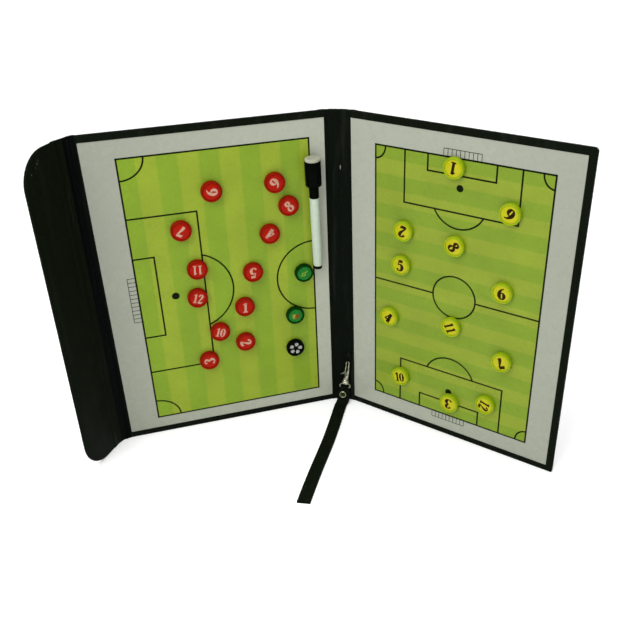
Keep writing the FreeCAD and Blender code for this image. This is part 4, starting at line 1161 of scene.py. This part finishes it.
def swivel_eye():
    """The swivel eye: a headed post on a wire loop."""
    inner, top = EYE_HALF - EYE_SHOULDER, EYE_TOP - EYE_SHOULDER
    foot, low = EYE_HALF - EYE_FOOT, EYE_FOOT - EYE_DROP
    line = []
    for x, z, radius, start in (
        (inner, top, EYE_SHOULDER, 0), (-inner, top, EYE_SHOULDER, 90),
        (-foot, low, EYE_FOOT, 180), (foot, low, EYE_FOOT, 270),
    ):
        line += arc(x, z, radius, start, start + 90, EYE_WIRE)
    shape = Shape()
    sweep(shape, line, wire, True)
    shape.lathe(EYE_POST)
    plated("swivel_eye_loop", shape, "swivel", "swivel_eye")


def strap_rivet():
    """The rivet that shuts the strap's loop."""
    back = BAR - RISE * RIVET_DROP - OUTWARD * (STRAP_LAYER + RIVET_CAP)
    shape = Shape().lathe(RIVET).lathe(RIVET_DISH, 1)
    place = at(EYE_BAR.x - RIVET_SHIFT, *back) @ turn(STRAP_SLOPE, "X")
    piece("strap_rivet_caps", shape, [BRASS, OLD_BRASS], place, "swivel", ["strap_rivet"])


NODE_FINISHES = {
    "left_pitch_sheet": LEFT_SHEET, "right_pitch_sheet": RIGHT_SHEET,
    "left_steel_sheet": STEEL, "right_steel_sheet": STEEL,
    "left_cover_board": BOARD, "right_cover_board": BOARD, "spine_board": BOARD, "flap_board": BOARD,
    "flap_magnets": MAGNET, "pen_cap_magnet": MAGNET, "pen_ink_reservoir": FELT, "pen_nib": NIB,
    "lever_pin": NICKEL, "lever_spring": STEEL,
}


def dress_nodes():
    """Finishes for the solids that stay."""
    for name, finish in NODE_FINISHES.items():
        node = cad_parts[name]
        node.data.materials.clear()
        node.data.materials.append(finish)


FLOOR_REACH = 9000.0
FLOOR_FOOT = -20.0
FLOOR_TOP = -0.02


def floor():
    """A plain pale floor."""
    paint = material("studio_floor", Roughness=0.85, Specular_IOR_Level=0.2, Emission_Strength=0.25)
    paint.link(paint.ramp(paint.noise(600.0, 1.0), 0.86, 0.90), "Base Color")
    shape = Shape().slab(-FLOOR_REACH, FLOOR_REACH, -FLOOR_REACH, FLOOR_REACH, FLOOR_FOOT, FLOOR_TOP)
    made = piece("studio_floor", shape, [paint.owner])


KEY_PLACE = (-350.0, -800.0, 950.0)
KEY_WIDTH = 600.0
KEY_POWER = 7.2
LIGHT_AIM = (0.0, -60.0, 130.0)
TOP_PLACE = (0.0, 0.0, 2000.0)
TOP_AIM = (0.0, 0.0, 0.0)
TOP_STRENGTH = 2.6
TOP_SPREAD = 60.0
# The sky's brightness at the horizon and above, and the heights between which it falls off.
SKY_LOW = 0.80
SKY_HIGH = 0.06
SKY_FALL = (0.16, 0.40)


def studio():
    """A soft panel in front, an even overhead light and a pale sky."""
    panel = bpy.data.lights.new("key_light", "AREA")
    panel.shape = "SQUARE"
    panel.size = KEY_WIDTH * MM
    panel.energy = KEY_POWER
    overhead = bpy.data.lights.new("overhead_light", "SUN")
    overhead.energy = TOP_STRENGTH
    overhead.angle = math.radians(TOP_SPREAD)
    for lamp, place, aim in ((panel, KEY_PLACE, LIGHT_AIM), (overhead, TOP_PLACE, TOP_AIM)):
        made = put(lamp.name, lamp)
        made.location = Vector(place) * MM
        made.rotation_euler = (Vector(aim) - Vector(place)).to_track_quat("-Z", "Y").to_euler()
    sky = bpy.data.worlds.new("studio_sky")
    paint = Paint(sky, "Background", "Generated")
    paint.link(paint.ramp(paint.along("Z"), SKY_LOW, SKY_HIGH, *SKY_FALL), "Color")
    bpy.context.scene.world = sky
    bpy.context.scene.view_settings.view_transform = "Standard"


# The camera: its place, its turns, and its lens in the picture's own pixels.
PICTURE = 620.0
SENSOR = 36.0
FOCAL_PIXELS = 785.52
MIDDLE_PIXELS = (332.07, 315.06)
CAMERA_PLACE = (105.13, -676.70, 495.17)
CAMERA_DOWN = 29.822
CAMERA_LEFT = 9.672
CAMERA_ROLL = -1.736
NEAREST = 10.0


def camera():
    """The photograph's viewpoint."""
    lens = bpy.data.cameras.new("camera")
    lens.sensor_width = SENSOR
    lens.lens = FOCAL_PIXELS / PICTURE * SENSOR
    lens.shift_x = (PICTURE / 2 - MIDDLE_PIXELS[0]) / PICTURE
    lens.shift_y = (MIDDLE_PIXELS[1] - PICTURE / 2) / PICTURE
    lens.clip_start = NEAREST * MM
    made = put("camera", lens)
    aim = turn(CAMERA_LEFT) @ turn(90 - CAMERA_DOWN, "X") @ turn(CAMERA_ROLL)
    made.matrix_world = at(*CAMERA_PLACE) @ aim
    bpy.context.scene.camera = made


cover_skin(-1, LEFT_FAR, LEFT, "left", ())
cover_skin(1, RIGHT_FAR, RIGHT, "right", (2,))
spine_skins()
gusset_skins()
flap_skin()
pitch_prints()
counters()
pen()
strap()
hook_tab()
snap_hook()
hook_lever()
swivel_eye()
strap_rivet()
dress_nodes()
floor()
studio()
camera()
